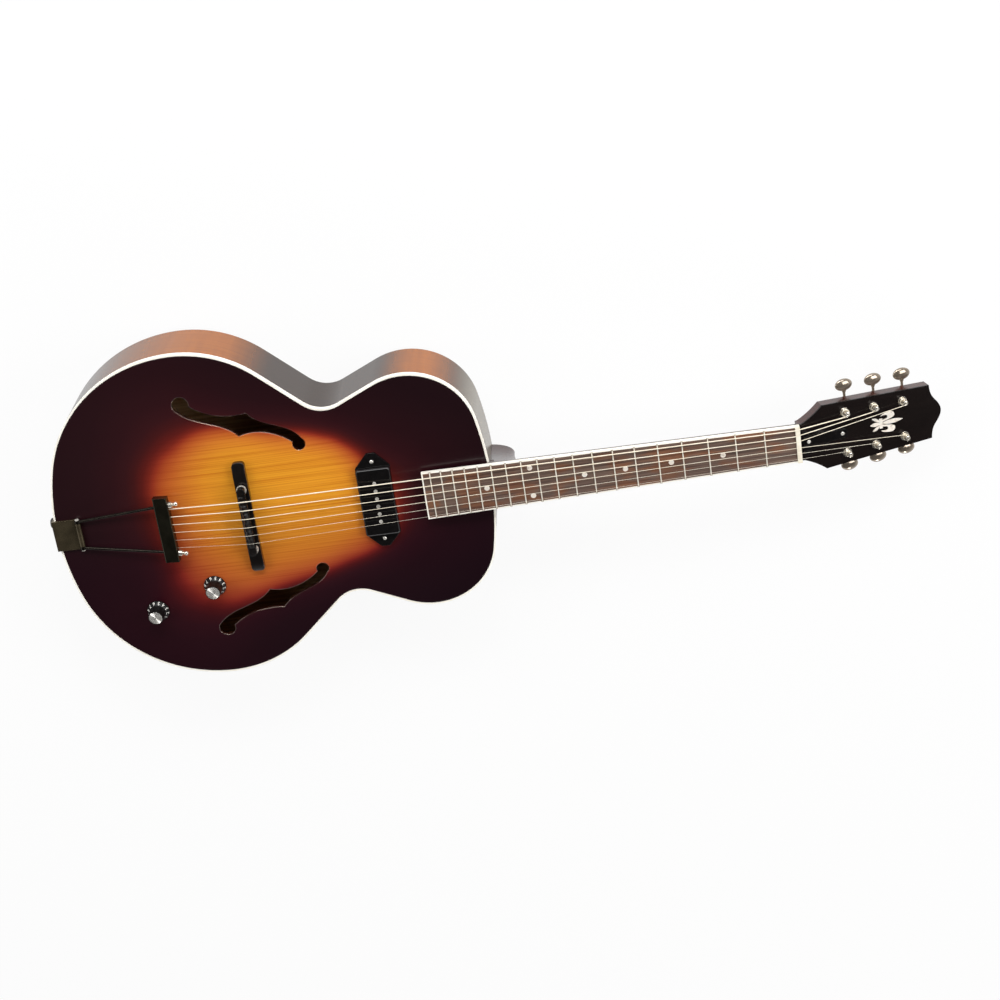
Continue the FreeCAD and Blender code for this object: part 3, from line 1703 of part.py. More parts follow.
blank = board_blank()
lily_piece = lily()
rim_piece = rim()
nodes = {
    "top_plate": top_plate().cut(screw_list),
    "back_plate": back_plate(),
    "rim_bass_side": rim_piece.common(half_space(1)).cut(bore_list),
    "rim_treble_side": rim_piece.common(half_space(-1)).cut(bore_list),
    "top_binding": binding(-binding_height, 0),
    "back_binding": binding(-rim_depth, -rim_depth + binding_height),
    "linings": linings(),
    "neck_block": neck_block_room().common(room).cut(tenon_block()),
    "tail_block": tail_block_room().common(room).cut(bore_list),
    "tone_bars": tone_bars(),
    "neck": neck(),
    "headstock_veneer": headstock_veneer(),
    "headstock_inlay": lily_piece,
    "truss_rod": truss_rod(),
    "truss_rod_cover": truss_cover().cut(screw_list),
    "fingerboard": fingerboard(),
    "fingerboard_binding": put(blank.cut(board_core()), neck_place),
    "frets": solids_of([put(fret(number), neck_place) for number in range(1, fret_count + 1)]),
    "fret_markers": fret_markers(),
    "nut": nut(),
    "wound_strings": solids_of([guitar_string(index) for index in range(wound_count)]),
    "plain_strings": solids_of([guitar_string(index) for index in range(wound_count, string_count)]),
    "bridge_base": bridge_base(),
    "bridge_posts": solids_of(bridge_posts_list()),
    "bridge_saddle": bridge_saddle(),
    "thumbwheel_bass": thumbwheel(1),
    "thumbwheel_treble": thumbwheel(-1),
    "tailpiece_bracket": tailpiece_bracket(),
    "tailpiece_hinge_pin": hinge_pin(),
    "tailpiece_rods": tailpiece_rods(),
    "tailpiece_bar": tailpiece_bar(),
    "strap_button": strap_button(),
    "pickup_cover": pickup_cover(),
    "pickup_coil": pickup_coil(),
    "pickup_magnets": pickup_magnets(),
    "pickup_baseplate": pickup_base(),
    "pickup_pole_screws": solids_of([pole_screw(spot) for spot in pole_spots()]),
    "volume_knob": knob(volume_at),
    "volume_knob_insert": knob_insert(volume_at),
    "tone_knob": knob(tone_at),
    "tone_knob_insert": knob_insert(tone_at),
    "potentiometers": solids_of([pot(volume_at), pot(tone_at)]),
    "output_jack": output_jack(),
    "wiring": wiring(),
    "tuner_plates": solids_of([tuner_plate(index).cut(screw_list) for index in range(string_count)]),
    "tuner_bushings": solids_of([tuner_bushing(index) for index in range(string_count)]),
    "small_screws": solids_of(screw_list),
}
for index in range(string_count):
    number = string_count - index
    nodes["tuner_button_%d" % number] = tuner_button(index)
    nodes["tuner_post_%d" % number] = post_with_wrap(index)

os.makedirs("parts", exist_ok=True)
for name, shape in nodes.items():
    shape.translate(row_shift)
    shape.exportStep("parts/%s.step" % name)
    valid = all(solid.isValid() for solid in shape.Solids)
    print("%-22s solids %2d valid %s volume %.1f" % (name, len(shape.Solids), valid, shape.Volume))


def metres(point):
    moved = point + row_shift
    return [round(value / 1000, 6) for value in moved]


# Joint axes in the finished frame, in metres
head_axis = [round(value, 6) for value in head_place.Rotation.multVec(Vec(0, 0, 1))]
for index in range(string_count):
    number = string_count - index
    centre, side = tuner_spot(index)
    print("joint tuner_post_%d" % number, metres(head_place.multVec(centre)), head_axis)
    print("joint tuner_button_%d" % number, metres(worm_place(index).Base), [0, side, 0])
for name, place in (("volume_knob", volume_at), ("tone_knob", tone_at)):
    print("joint", name, metres(on_top(*place)), [round(value, 6) for value in top_normal(*place)])
for name, side in (("thumbwheel_bass", 1), ("thumbwheel_treble", -1)):
    print("joint", name, metres(wheel_point(side)), [0, 0, 1])
seat, axis = jack_frame()
print("mount output_jack", metres(seat), [round(value, 6) for value in axis])
strap_middle = strap_place().multVec(Vec(0, 0, (strap_head_low + strap_head_high) / 2))
print("mount strap_button", metres(strap_middle), [-1, 0, 0])
print("worm ratio 1/%d" % gear_teeth)
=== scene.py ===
import json
import math

import bmesh
import bpy
from mathutils import Matrix, Vector


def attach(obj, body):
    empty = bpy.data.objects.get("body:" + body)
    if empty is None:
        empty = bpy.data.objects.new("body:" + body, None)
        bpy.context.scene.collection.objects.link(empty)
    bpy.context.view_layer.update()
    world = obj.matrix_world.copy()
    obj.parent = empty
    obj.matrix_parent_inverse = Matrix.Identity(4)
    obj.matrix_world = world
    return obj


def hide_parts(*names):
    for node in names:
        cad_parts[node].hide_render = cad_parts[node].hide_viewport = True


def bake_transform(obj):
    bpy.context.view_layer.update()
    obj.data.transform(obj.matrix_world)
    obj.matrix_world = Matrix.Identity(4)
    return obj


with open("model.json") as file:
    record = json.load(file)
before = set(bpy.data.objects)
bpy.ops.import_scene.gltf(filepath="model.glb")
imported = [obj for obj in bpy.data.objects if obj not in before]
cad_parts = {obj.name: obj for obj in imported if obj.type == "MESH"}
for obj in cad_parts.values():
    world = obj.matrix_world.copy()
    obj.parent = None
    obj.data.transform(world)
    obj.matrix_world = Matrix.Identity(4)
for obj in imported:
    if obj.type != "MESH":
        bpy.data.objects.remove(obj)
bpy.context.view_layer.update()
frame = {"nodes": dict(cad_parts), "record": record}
nodes = frame["nodes"]
print("frame loaded:", len(nodes), "nodes")


# shader signals

class Signal:
    def __init__(self, kit, socket):
        self.kit = kit
        self.socket = socket

    def maths(self, operation, *values):
        return self.kit.node("ShaderNodeMath", {"operation": operation}, dict(enumerate(values)))

    def __add__(self, other):
        return self.maths("ADD", self, other)

    def __radd__(self, other):
        return self.maths("ADD", other, self)

    def __sub__(self, other):
        return self.maths("SUBTRACT", self, other)

    def __rsub__(self, other):
        return self.maths("SUBTRACT", other, self)

    def __mul__(self, other):
        return self.maths("MULTIPLY", self, other)

    def __rmul__(self, other):
        return self.maths("MULTIPLY", other, self)

    def __truediv__(self, other):
        return self.maths("DIVIDE", self, other)

    def __rtruediv__(self, other):
        return self.maths("DIVIDE", other, self)

    def __pow__(self, other):
        return self.maths("POWER", self, other)

    def __abs__(self):
        return self.maths("ABSOLUTE", self)

    def sine(self):
        return self.maths("SINE", self)

    def most(self, other):
        return self.maths("MAXIMUM", self, other)

    def held(self):                                   # kept between 0 and 1
        return self.maths("MINIMUM", self.maths("MAXIMUM", self, 0.0), 1.0)

    def step(self, low, high):                        # smooth step from low to high
        return self.kit.node("ShaderNodeMapRange", {"interpolation_type": "SMOOTHSTEP"},
                             {"Value": self, "From Min": low, "From Max": high})


class Finish:
    def __init__(self, name, room=False):
        self.material = bpy.data.worlds.new(name) if room else bpy.data.materials.new(name)
        self.material.use_nodes = True
        self.tree = self.material.node_tree
        self.tree.nodes.clear()
        self.output = self.tree.nodes.new("ShaderNodeOutputWorld" if room else "ShaderNodeOutputMaterial")

    def node(self, kind, settings=None, inputs=None, out=0):
        made = self.tree.nodes.new(kind)
        for key, value in (settings or {}).items():
            if key == "stops":
                ramp = made.color_ramp
                while len(ramp.elements) < len(value):
                    ramp.elements.new(0.5)
                for element, (place, colour) in zip(ramp.elements, value):
                    element.position = place
                    element.color = (*colour, 1.0)
            else:
                setattr(made, key, value)
        for key, value in (inputs or {}).items():
            if isinstance(value, Signal):
                self.tree.links.new(value.socket, made.inputs[key])
            elif value is not None:
                made.inputs[key].default_value = value
        return Signal(self, made.outputs[out])

    def place(self):
        return self.node("ShaderNodeTexCoord", out=3)

    def axes(self):
        point = self.place()
        return [self.node("ShaderNodeSeparateXYZ", inputs={0: point}, out=index) for index in range(3)]

    def stretch(self, scale):
        return self.node("ShaderNodeVectorMath", {"operation": "MULTIPLY"}, {0: self.place(), 1: scale})

    def noise(self, point, scale, detail=3.0, rough=0.5):
        return self.node("ShaderNodeTexNoise", inputs={"Vector": point, "Scale": scale, "Detail": detail,
                                                       "Roughness": rough})

    def ramp(self, value, stops):
        return self.node("ShaderNodeValToRGB", {"stops": stops}, {0: value})

    def mix(self, share, one, two, blend="MIX"):
        settings = {"data_type": "RGBA", "blend_type": blend}
        return self.node("ShaderNodeMix", settings, {0: share, 6: one, 7: two}, out=2)

    def bump(self, height, distance, rounded=None):
        inputs = {"Height": height, "Distance": distance, "Normal": rounded}
        return self.node("ShaderNodeBump", inputs=inputs)

    def softEdge(self, radius):
        return self.node("ShaderNodeBevel", {"samples": 4}, {"Radius": radius})

    def facing(self, axis):                           # how far the face looks along an axis
        normal = self.node("ShaderNodeNewGeometry", out=1)
        return self.node("ShaderNodeSeparateXYZ", inputs={0: normal}, out=axis)

    def leaning(self, normal):                        # how far a rounded normal leaves its face
        flat = self.node("ShaderNodeNewGeometry", out=1)
        settings = {"operation": "DOT_PRODUCT"}
        return 1 - self.node("ShaderNodeVectorMath", settings, {0: normal, 1: flat}, out=1)

    def seen(self):                                   # seen directly, mirrored or through something clear
        direct, glossy, clear = [self.node("ShaderNodeLightPath", out=index) for index in (0, 3, 6)]
        return direct.most(glossy).most(clear)

    def surface(self, **sockets):
        inputs = {key.replace("_", " "): value for key, value in sockets.items()}
        shader = self.node("ShaderNodeBsdfPrincipled", inputs=inputs)
        self.tree.links.new(shader.socket, self.output.inputs["Surface"])
        return self.material


def rgb(red, green, blue):                            # screen colour to scene colour
    parts = []
    for level in (red, green, blue):
        share = level / 255
        parts.append(share / 12.92 if share <= 0.04045 else ((share + 0.055) / 1.055) ** 2.4)
    return tuple(parts)


def rgba(red, green, blue):
    return (*rgb(red, green, blue), 1.0)


# finishes

# reach goes along, to the bass and to the treble; soft slows the fade to the tail, the head and the treble;
# a spot is an uneven patch of the sprayed colour: along, across, size and how much darker it is
burst = {"middle": (-0.2445, 0.002), "reach": (0.1396, 0.099, 0.0955), "taper": 2.03, "square": 3.05,
         "wobble": 0.03, "soft": (0.34, 0.08, 0.22),
         "spots": ((-0.168, 0.034, 0.085, -0.05), (-0.19, -0.062, 0.06, 0.06), (-0.05, 0.07, 0.065, -0.09),
                   (0.115, 0.042, 0.06, 0.095), (-0.075, -0.075, 0.075, -0.055)),
         "stops": ((0.0, (226, 154, 42)), (0.5, (224, 152, 41)), (0.7, (219, 143, 40)), (0.8, (209, 127, 41)),
                   (0.85, (200, 114, 41)), (0.9, (188, 96, 39)), (0.94, (170, 76, 35)),
                   (0.975, (144, 50, 29)), (1.0, (116, 35, 24)), (1.03, (88, 24, 20)), (1.075, (63, 18, 19)),
                   (1.125, (49, 15, 19)), (1.2, (41, 12, 17)), (1.35, (34, 10, 15)), (1.7, (29, 9, 14)),
                   (2.0, (26, 8, 13)))}


# how far out each softer fade builds up, and how strongly the dark grain lines show
burstGrain = {"softOver": (0.1, 0.1, 0.08), "cloud": (9.0, 14.0, 9.0), "lines": (0.42, 0.70),
              "fade": (0.75, 1.2), "depth": 0.55, "tint": (204, 142, 90)}


def burstColour(kit, spec, grainScale):
    x, y = kit.axes()[:2]
    x = x - spec["middle"][0]
    y = y - spec["middle"][1]
    alongBody = abs(x) / spec["reach"][0]
    acrossBody = (y / spec["reach"][1]).most((0 - y) / spec["reach"][2]) / (1 - x * spec["taper"])
    cloud = kit.noise(kit.stretch(burstGrain["cloud"]), 1.0, 2.0)
    spread = (alongBody ** spec["square"] + acrossBody ** spec["square"]) ** (1 / spec["square"])
    tail, head, treble = spec["soft"]
    toTail, toHead, toTreble = burstGrain["softOver"]
    soft = 1 - (0 - x).step(0.0, toTail) * tail - x.step(0.0, toHead) * head
    soft = soft - (0 - y).step(0.0, toTreble) * treble
    spread = 1 + (spread - 1) * soft + (cloud - 0.5) * spec["wobble"] * 2
    for spotX, spotY, size, darker in spec["spots"]:
        along = (x - spotX) / size
        across = (y - spotY) / size
        near = (1 - along * along - across * across).most(0.0)
        spread = spread + near * near * darker
    stops = [(place / 2, rgb(*colour)) for place, colour in spec["stops"]]
    colour = kit.ramp(spread * 0.5, stops)
    lines = kit.noise(kit.stretch(grainScale), 1.0, 2.0, 0.6)
    fade = 1 - spread.step(*burstGrain["fade"])
    dark = (lines.step(*burstGrain["lines"]) * fade * burstGrain["depth"]).held()
    stained = kit.mix(1.0, colour, rgba(*burstGrain["tint"]), "MULTIPLY")
    return kit.mix(dark, colour, stained), lines, y, spread


def bareColour(kit):
    lines = kit.noise(kit.stretch((8.0, 300.0, 300.0)), 1.0, 3.0)
    return kit.ramp(lines, ((0.3, rgb(170, 126, 82)), (0.7, rgb(206, 166, 118))))


# lacquer stands thick on the rounded edges of the sound holes, which lie within this spread of the burst
holeEdge = {"radius": 0.0018, "lean": (0.12, 0.22), "within": (1.2, 1.3), "tone": (130, 119, 110),
            "rough": 0.2}


def spruceTop():
    kit = Finish("spruceBurst")
    colour, lines, across, spread = burstColour(kit, burst, (5.0, 1100.0, 5.0))
    reddened = (0.02 - across).step(0.0, 0.09) * 0.75
    colour = kit.mix(reddened, colour, kit.mix(1.0, colour, rgba(224, 188, 255), "MULTIPLY"))
    looksUp = kit.facing(2)
    colour = kit.mix(1 - looksUp.step(0.3, 0.5), colour, rgba(46, 20, 14))
    colour = kit.mix(1 - looksUp.step(-0.6, -0.4), colour, bareColour(kit))
    haze = kit.noise(kit.stretch((6.0, 6.0, 6.0)), 1.0)
    rounded = kit.softEdge(holeEdge["radius"])
    edge = kit.leaning(rounded).step(*holeEdge["lean"]) * (1 - spread.step(*holeEdge["within"]))
    colour = kit.mix(edge, colour, rgba(*holeEdge["tone"]))
    rough = 0.26 + haze * 0.08 - edge * holeEdge["rough"]
    return kit.surface(Base_Color=colour, Roughness=rough, Metallic=edge, Specular_IOR_Level=0.3,
                       Coat_Weight=0.35, Coat_Roughness=0.04, Normal=kit.bump(lines, 0.000008, rounded))


backBurst = {"middle": (-0.266, 0.0), "reach": (0.16, 0.13, 0.13), "taper": 0.0, "square": 2.2,
             "wobble": 0.06, "soft": (0, 0, 0), "spots": (),
             "stops": ((0.0, (190, 104, 48)), (0.68, (170, 84, 42)), (1.0, (124, 50, 32)),
                       (1.24, (84, 32, 26)), (1.56, (48, 20, 22)), (2.0, (30, 15, 19)))}


def mapleBack():
    kit = Finish("mapleBurst")
    colour, lines = burstColour(kit, backBurst, (4.0, 160.0, 4.0))[:2]
    flame = kit.noise(kit.stretch((150.0, 9.0, 9.0)), 1.0, 2.0)
    flamed = kit.mix(1.0, colour, rgba(150, 110, 90), "MULTIPLY")
    colour = kit.mix(flame.step(0.4, 0.75) * 0.3, colour, flamed)
    colour = kit.mix(kit.facing(2).step(-0.5, -0.3), colour, bareColour(kit))
    return kit.surface(Base_Color=colour, Roughness=0.22 + lines * 0.06, Coat_Weight=0.3, Coat_Roughness=0.06)


# each bout glows between where its light begins, is full, starts to fade and ends; pale is a painted
# reflection of the white floor on the dark rim next to the heel
rimGlow = {"bouts": ((-0.46, -0.31, -0.285, -0.23), (-0.115, -0.066, -0.056, -0.012)),
           "dark": (46, 28, 16), "light": ((142, 75, 0), (164, 91, 2)), "pale": (112, 102, 84)}


def mapleRim():
    kit = Finish("mapleRim")
    x = kit.axes()[0]
    glow = sum((x.step(a, b) * (1 - x.step(c, d)) for a, b, c, d in rimGlow["bouts"]), 0.0)
    lines = kit.noise(kit.stretch((14.0, 14.0, 420.0)), 1.0, 3.0)
    flame = kit.noise(kit.stretch((150.0, 150.0, 5.0)), 1.0, 2.0)
    low, high = rimGlow["light"]
    light = kit.ramp(lines * 0.6 + flame * 0.4, ((0.3, rgb(*low)), (0.7, rgb(*high))))
    # painted reflection: the dark rim turns pale towards the heel
    colour = kit.mix(x.step(-0.03, -0.004), rgba(*rimGlow["dark"]), rgba(*rimGlow["pale"]))
    colour = kit.mix(glow, colour, light)
    return kit.surface(Base_Color=colour, Roughness=0.2 + lines * 0.06, Specular_IOR_Level=0.43)


def celluloid():
    kit = Finish("creamBinding")
    cloud = kit.noise(kit.stretch((40.0, 40.0, 40.0)), 1.0)
    colour = kit.ramp(cloud, ((0.3, rgb(246, 240, 226)), (0.7, rgb(254, 251, 242))))
    return kit.surface(Base_Color=colour, Roughness=0.32 + cloud * 0.1)


def mahoganyNeck():
    kit = Finish("mahoganyNeck")
    pores = kit.noise(kit.stretch((18.0, 520.0, 520.0)), 1.0, 4.0, 0.6)
    cloud = kit.noise(kit.stretch((5.0, 22.0, 22.0)), 1.0)
    colour = kit.ramp(pores * 0.6 + cloud * 0.4, ((0.3, rgb(34, 12, 10)), (0.52, rgb(58, 21, 16)),
                                                  (0.72, rgb(80, 34, 25))))
    return kit.surface(Base_Color=colour, Roughness=0.2 + pores * 0.1, Coat_Weight=0.25, Coat_Roughness=0.08,
                       Normal=kit.bump(pores, 0.00002))


def blackVeneer():
    kit = Finish("blackVeneer")
    haze = kit.noise(kit.stretch((30.0, 90.0, 30.0)), 1.0)
    colour = kit.ramp(haze, ((0.3, rgb(14, 8, 7)), (0.75, rgb(19, 12, 10))))
    return kit.surface(Base_Color=colour, Roughness=0.22 + haze * 0.03, Specular_IOR_Level=0.3,
                       Normal=kit.softEdge(0.0006))


def rosewood():
    kit = Finish("rosewood")
    streak = kit.noise(kit.stretch((12.0, 420.0, 60.0)), 1.0, 4.0, 0.6)
    patch = kit.noise(kit.stretch((22.0, 60.0, 20.0)), 1.0, 2.0)
    pores = kit.noise(kit.stretch((60.0, 1400.0, 400.0)), 1.0, 2.0)
    grey = kit.ramp(streak, ((0.3, rgb(66, 50, 44)), (0.5, rgb(96, 76, 66)), (0.72, rgb(120, 98, 86))))
    warm = kit.ramp(streak, ((0.3, rgb(74, 44, 32)), (0.5, rgb(112, 72, 50)), (0.72, rgb(140, 96, 68))))
    colour = kit.mix(patch.step(0.45, 0.62), grey, warm)
    colour = kit.mix(pores.step(0.58, 0.75) * 0.4, colour, rgba(40, 28, 24))
    return kit.surface(Base_Color=colour, Roughness=0.45 + pores * 0.15, Normal=kit.bump(pores, 0.00005))


def ebonised():
    kit = Finish("ebonisedBridge")
    pores = kit.noise(kit.stretch((700.0, 60.0, 300.0)), 1.0, 2.0)
    colour = kit.ramp(pores, ((0.3, rgb(11, 9, 9)), (0.7, rgb(24, 19, 17))))
    rounded = kit.softEdge(0.0015)
    return kit.surface(Base_Color=colour, Roughness=0.12 + pores * 0.08, Coat_Weight=0.2,
                       Normal=kit.bump(pores, 0.00001, rounded))


def pearl():
    kit = Finish("motherOfPearl")
    swirl = kit.noise(kit.stretch((260.0, 260.0, 260.0)), 1.0, 3.0)
    colour = kit.ramp(swirl, ((0.3, rgb(206, 196, 182)), (0.5, rgb(242, 232, 220)),
                              (0.7, rgb(224, 222, 214))))
    return kit.surface(Base_Color=colour, Roughness=0.2 + swirl * 0.15, Coat_Weight=0.5)


def bone():
    kit = Finish("boneNut")
    cloud = kit.noise(kit.stretch((90.0, 400.0, 90.0)), 1.0)
    colour = kit.ramp(cloud, ((0.3, rgb(230, 220, 198)), (0.7, rgb(248, 242, 226))))
    return kit.surface(Base_Color=colour, Roughness=0.35 + cloud * 0.1)


def plated(name, dull, bright, rough, metal=1.0):
    kit = Finish(name)
    stain = kit.noise(kit.stretch((60.0, 60.0, 60.0)), 1.0, 4.0, 0.5)
    brush = kit.noise(kit.stretch((90.0, 1600.0, 900.0)), 1.0, 2.0)
    colour = kit.ramp(stain, ((0.3, rgb(*dull)), (0.65, rgb(*bright))))
    return kit.surface(Base_Color=colour, Metallic=metal, Roughness=rough + stain * 0.06 + brush * 0.04,
                       Normal=kit.softEdge(0.0004))


def buttonMetal():
    kit = Finish("buttonMetal")
    stain = kit.noise(kit.stretch((180.0, 180.0, 180.0)), 1.0, 3.0)
    colour = kit.ramp(stain, ((0.3, rgb(138, 125, 110)), (0.7, rgb(162, 149, 133))))
    return kit.surface(Base_Color=colour, Metallic=0.65, Roughness=0.14 + stain * 0.06, Coat_Weight=0.5)


def fretMetal():
    kit = Finish("fretNickel")
    stain = kit.noise(kit.stretch((60.0, 300.0, 300.0)), 1.0, 3.0)
    # painted highlight: the crown, where the face looks up, is painted near white, and the sides take a
    # darker painted shade
    crest = kit.ramp(stain, ((0.3, rgb(246, 240, 226)), (0.7, rgb(255, 252, 242))))
    colour = kit.mix(kit.facing(2).step(0.8, 0.96), rgba(150, 130, 110), crest)
    return kit.surface(Base_Color=colour, Metallic=0.2, Roughness=0.2 + stain * 0.08)


# rods painted dark as a painted dark reflection, whose screwed ends, in front of the bar, are bright
rodTone = {"dark": ((34, 30, 26), (48, 43, 37)), "bright": (216, 210, 198), "from": -0.3692, "to": -0.3680}


def rodMetal():
    kit = Finish("darkReflectionRod")
    x = kit.axes()[0]
    stain = kit.noise(kit.stretch((60.0, 300.0, 300.0)), 1.0, 3.0)
    dark, pale = rodTone["dark"]
    colour = kit.ramp(stain, ((0.3, rgb(*dark)), (0.7, rgb(*pale))))
    colour = kit.mix(x.step(rodTone["from"], rodTone["to"]), colour, rgba(*rodTone["bright"]))
    return kit.surface(Base_Color=colour, Metallic=0.85, Roughness=0.16 + stain * 0.08)


def blackPlastic(name, rough, shine=0.5):
    kit = Finish(name)
    haze = kit.noise(kit.stretch((220.0, 220.0, 220.0)), 1.0, 4.0)
    colour = kit.ramp(haze, ((0.3, rgb(10, 9, 9)), (0.7, rgb(18, 16, 16))))
    return kit.surface(Base_Color=colour, Roughness=rough + haze * 0.06, Specular_IOR_Level=shine,
                       Normal=kit.bump(haze, 0.000005, kit.softEdge(0.0004)))


def bareWood():
    kit = Finish("bareInnerWood")
    cloud = kit.noise(kit.stretch((12.0, 12.0, 12.0)), 1.0)
    return kit.surface(Base_Color=bareColour(kit), Roughness=0.6 + cloud * 0.15)


finishes = {
    "spruce": spruceTop(), "maple": mapleBack(), "inner_wood": bareWood(), "cream_binding": celluloid(),
    "mahogany": mahoganyNeck(), "black_veneer": blackVeneer(), "pearl": pearl(),
    "rod_steel": plated("screwSteel", (206, 202, 192), (234, 230, 222), 0.2, 0.5),
    "black_plastic": blackPlastic("glossBlack", 0.12), "rosewood": rosewood(),
    "fret_nickel": fretMetal(), "bone": bone(),
    "string_steel": plated("stringSteel", (230, 220, 200), (250, 242, 224), 0.25, 0.5),
    "nickel": plated("brightNickel", (196, 188, 174), (230, 224, 212), 0.12, 0.85),
    "magnet": plated("magnetIron", (70, 70, 72), (96, 96, 98), 0.5),
    "plate_brass": plated("basePlateBrass", (150, 120, 70), (186, 154, 98), 0.35),
    "pot_metal": plated("potMetal", (140, 140, 138), (176, 176, 172), 0.4),
    "cable": blackPlastic("cableRubber", 0.5),
}
for part in frame["record"]["subparts"]:
    shell = nodes[part["node"]]
    shell.data.materials.clear()
    shell.data.materials.append(finishes[part["material_slot"]])
ownFinishes = {
    mapleRim(): ("rim_bass_side", "rim_treble_side", "back_binding"),
    ebonised(): ("bridge_base", "bridge_saddle"),
    # the nickel tailpiece bar and bracket are painted dark, a painted dark reflection
    plated("darkReflectionBar", (52, 50, 40), (72, 69, 56), 0.12, 0.9): ("tailpiece_bar",),
    plated("darkReflectionBracket", (80, 71, 54), (102, 91, 70), 0.22, 0.75): ("tailpiece_bracket",),
    plated("strapBlack", (20, 18, 17), (30, 28, 26), 0.45, 0.0): ("strap_button",),
    plated("wheelNickel", (214, 208, 196), (240, 235, 226), 0.16, 0.5): ("thumbwheel_bass",
                                                                         "thumbwheel_treble"),
    rodMetal(): ("tailpiece_rods",),
    buttonMetal(): tuple("tuner_button_%d" % number for number in range(1, 7)),
}
for finish, names in ownFinishes.items():
    for name in names:
        nodes[name].data.materials[0] = finish
print("finishes set")


# making pieces in bench millimetres
# x goes from the fourteenth fret to the head, y to the bass side, z up from the rim

bench = Matrix.Scale(0.001, 4) @ Matrix.Translation((4.4348, 0.0, 95.5))
neckSpec = {"scale": 628.65, "pitch": 2.5, "height": 13.2, "board": 6.0, "round": 305.0, "nut": 5.2,
            "tilt": 13.5}
nutX = neckSpec["scale"] * (1 - 2 ** (-14 / 12))
neckFrame = bench @ Matrix.Translation((0, 0, neckSpec["height"]))
neckFrame = neckFrame @ Matrix.Rotation(math.radians(neckSpec["pitch"]), 4, "Y")
headFrame = neckFrame @ Matrix.Translation((nutX + neckSpec["nut"], 0, -neckSpec["board"]))
headFrame = headFrame @ Matrix.Rotation(math.radians(neckSpec["tilt"]), 4, "Y")
wholeGuitar = "guitar"


def addPiece(name, shape, finish, body, *standsFor, sharp=40.0, slot=None):
    mesh = bpy.data.meshes.new(name)
    bmesh.ops.recalc_face_normals(shape, faces=shape.faces)
    shape.to_mesh(mesh)
    shape.free()
    mesh.materials.append(finish)
    mesh.shade_smooth()
    mesh.set_sharp_from_angle(angle=math.radians(sharp))
    piece = bpy.data.objects.new(name, mesh)
    bpy.context.scene.collection.objects.link(piece)
    if body:
        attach(piece, body)
    if standsFor:
        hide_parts(*standsFor)
    return piece


def spin(shape, frame3, profile, steps=48):
    rings = []
    for radius, height in profile:
        if radius == 0:
            rings.append([shape.verts.new(frame3 @ Vector((0, 0, height)))])
            continue
        ring = []
        for step in range(steps):
            angle = 2 * math.pi * step / steps
            spot = Vector((radius * math.cos(angle), radius * math.sin(angle), height))
            ring.append(shape.verts.new(frame3 @ spot))
        rings.append(ring)
    for low, high in zip(rings, rings[1:]):
        for step in range(steps):
            after = (step + 1) % steps
            if len(low) == 1:
                shape.faces.new((low[0], high[step], high[after]))
            elif len(high) == 1:
                shape.faces.new((low[step], low[after], high[0]))
            else:
                shape.faces.new((low[step], low[after], high[after], high[step]))


def pipe(shape, points, radius, sides=10):
    route = [Vector(point) for point in points]
    lead = (route[1] - route[0]).normalized()
    side = lead.orthogonal().normalized()
    rings = []
    for index, point in enumerate(route):
        ahead = route[min(index + 1, len(route) - 1)] - route[max(index - 1, 0)]
        ahead.normalize()
        side = (side - ahead * side.dot(ahead)).normalized()
        other = ahead.cross(side)
        ring = []
        for step in range(sides):
            angle = 2 * math.pi * step / sides
            ring.append(shape.verts.new(point + (side * math.cos(angle) + other * math.sin(angle)) * radius))
        rings.append(ring)
    for low, high in zip(rings, rings[1:]):
        for step in range(sides):
            after = (step + 1) % sides
            shape.faces.new((low[step], low[after], high[after], high[step]))
    shape.faces.new(rings[0][::-1])
    shape.faces.new(rings[-1])


def slab(shape, frame3, outline, low, high, bevel):
    levels = ((low, bevel), (low + bevel, 0.0), (high - bevel, 0.0), (high, bevel))
    middle = sum((Vector((*point, 0)) for point in outline), Vector()) / len(outline)
    rings = []
    for height, inset in levels:
        ring = []
        for point in outline:
            spot = Vector((*point, 0))
            spot = spot + (middle - spot).normalized() * inset
            ring.append(shape.verts.new(frame3 @ Vector((spot.x, spot.y, height))))
        rings.append(ring)
    count = len(outline)
    for below, above in zip(rings, rings[1:]):
        for step in range(count):
            after = (step + 1) % count
            shape.faces.new((below[step], below[after], above[after], above[step]))
    shape.faces.new(rings[0][::-1])
    shape.faces.new(rings[-1])


# strings

stringSpec = {"diameters": (1.27, 1.02, 0.76, 0.56, 0.41, 0.30), "nutSpread": 36.0, "saddleSpread": 53.3,
              "tailSpread": 49.4, "action": 1.3, "crest": 31.0, "sink": 0.3, "setback": 6.2,
              "stagger": (-2.6, -1.4, -0.4, -1.6, -0.4, 0.8), "postHeight": 8.6, "clear": 0.3, "lift": 0.45,
              "turns": (1.5, 1.5, 2.0, 2.0, 3.0, 3.0), "wrapSteps": 24, "wrapStart": 0.75, "wound": 4,
              "parts": {"tail": 10, "play": 24, "head": 6},
              "ball": ((0.6, -1.8), (1.7, -1.8), (2.0, -1.4), (1.5, -0.6), (1.5, 0.6), (2.0, 1.4), (1.7, 1.8),
                       (0.6, 1.8), (0.6, -1.8))}
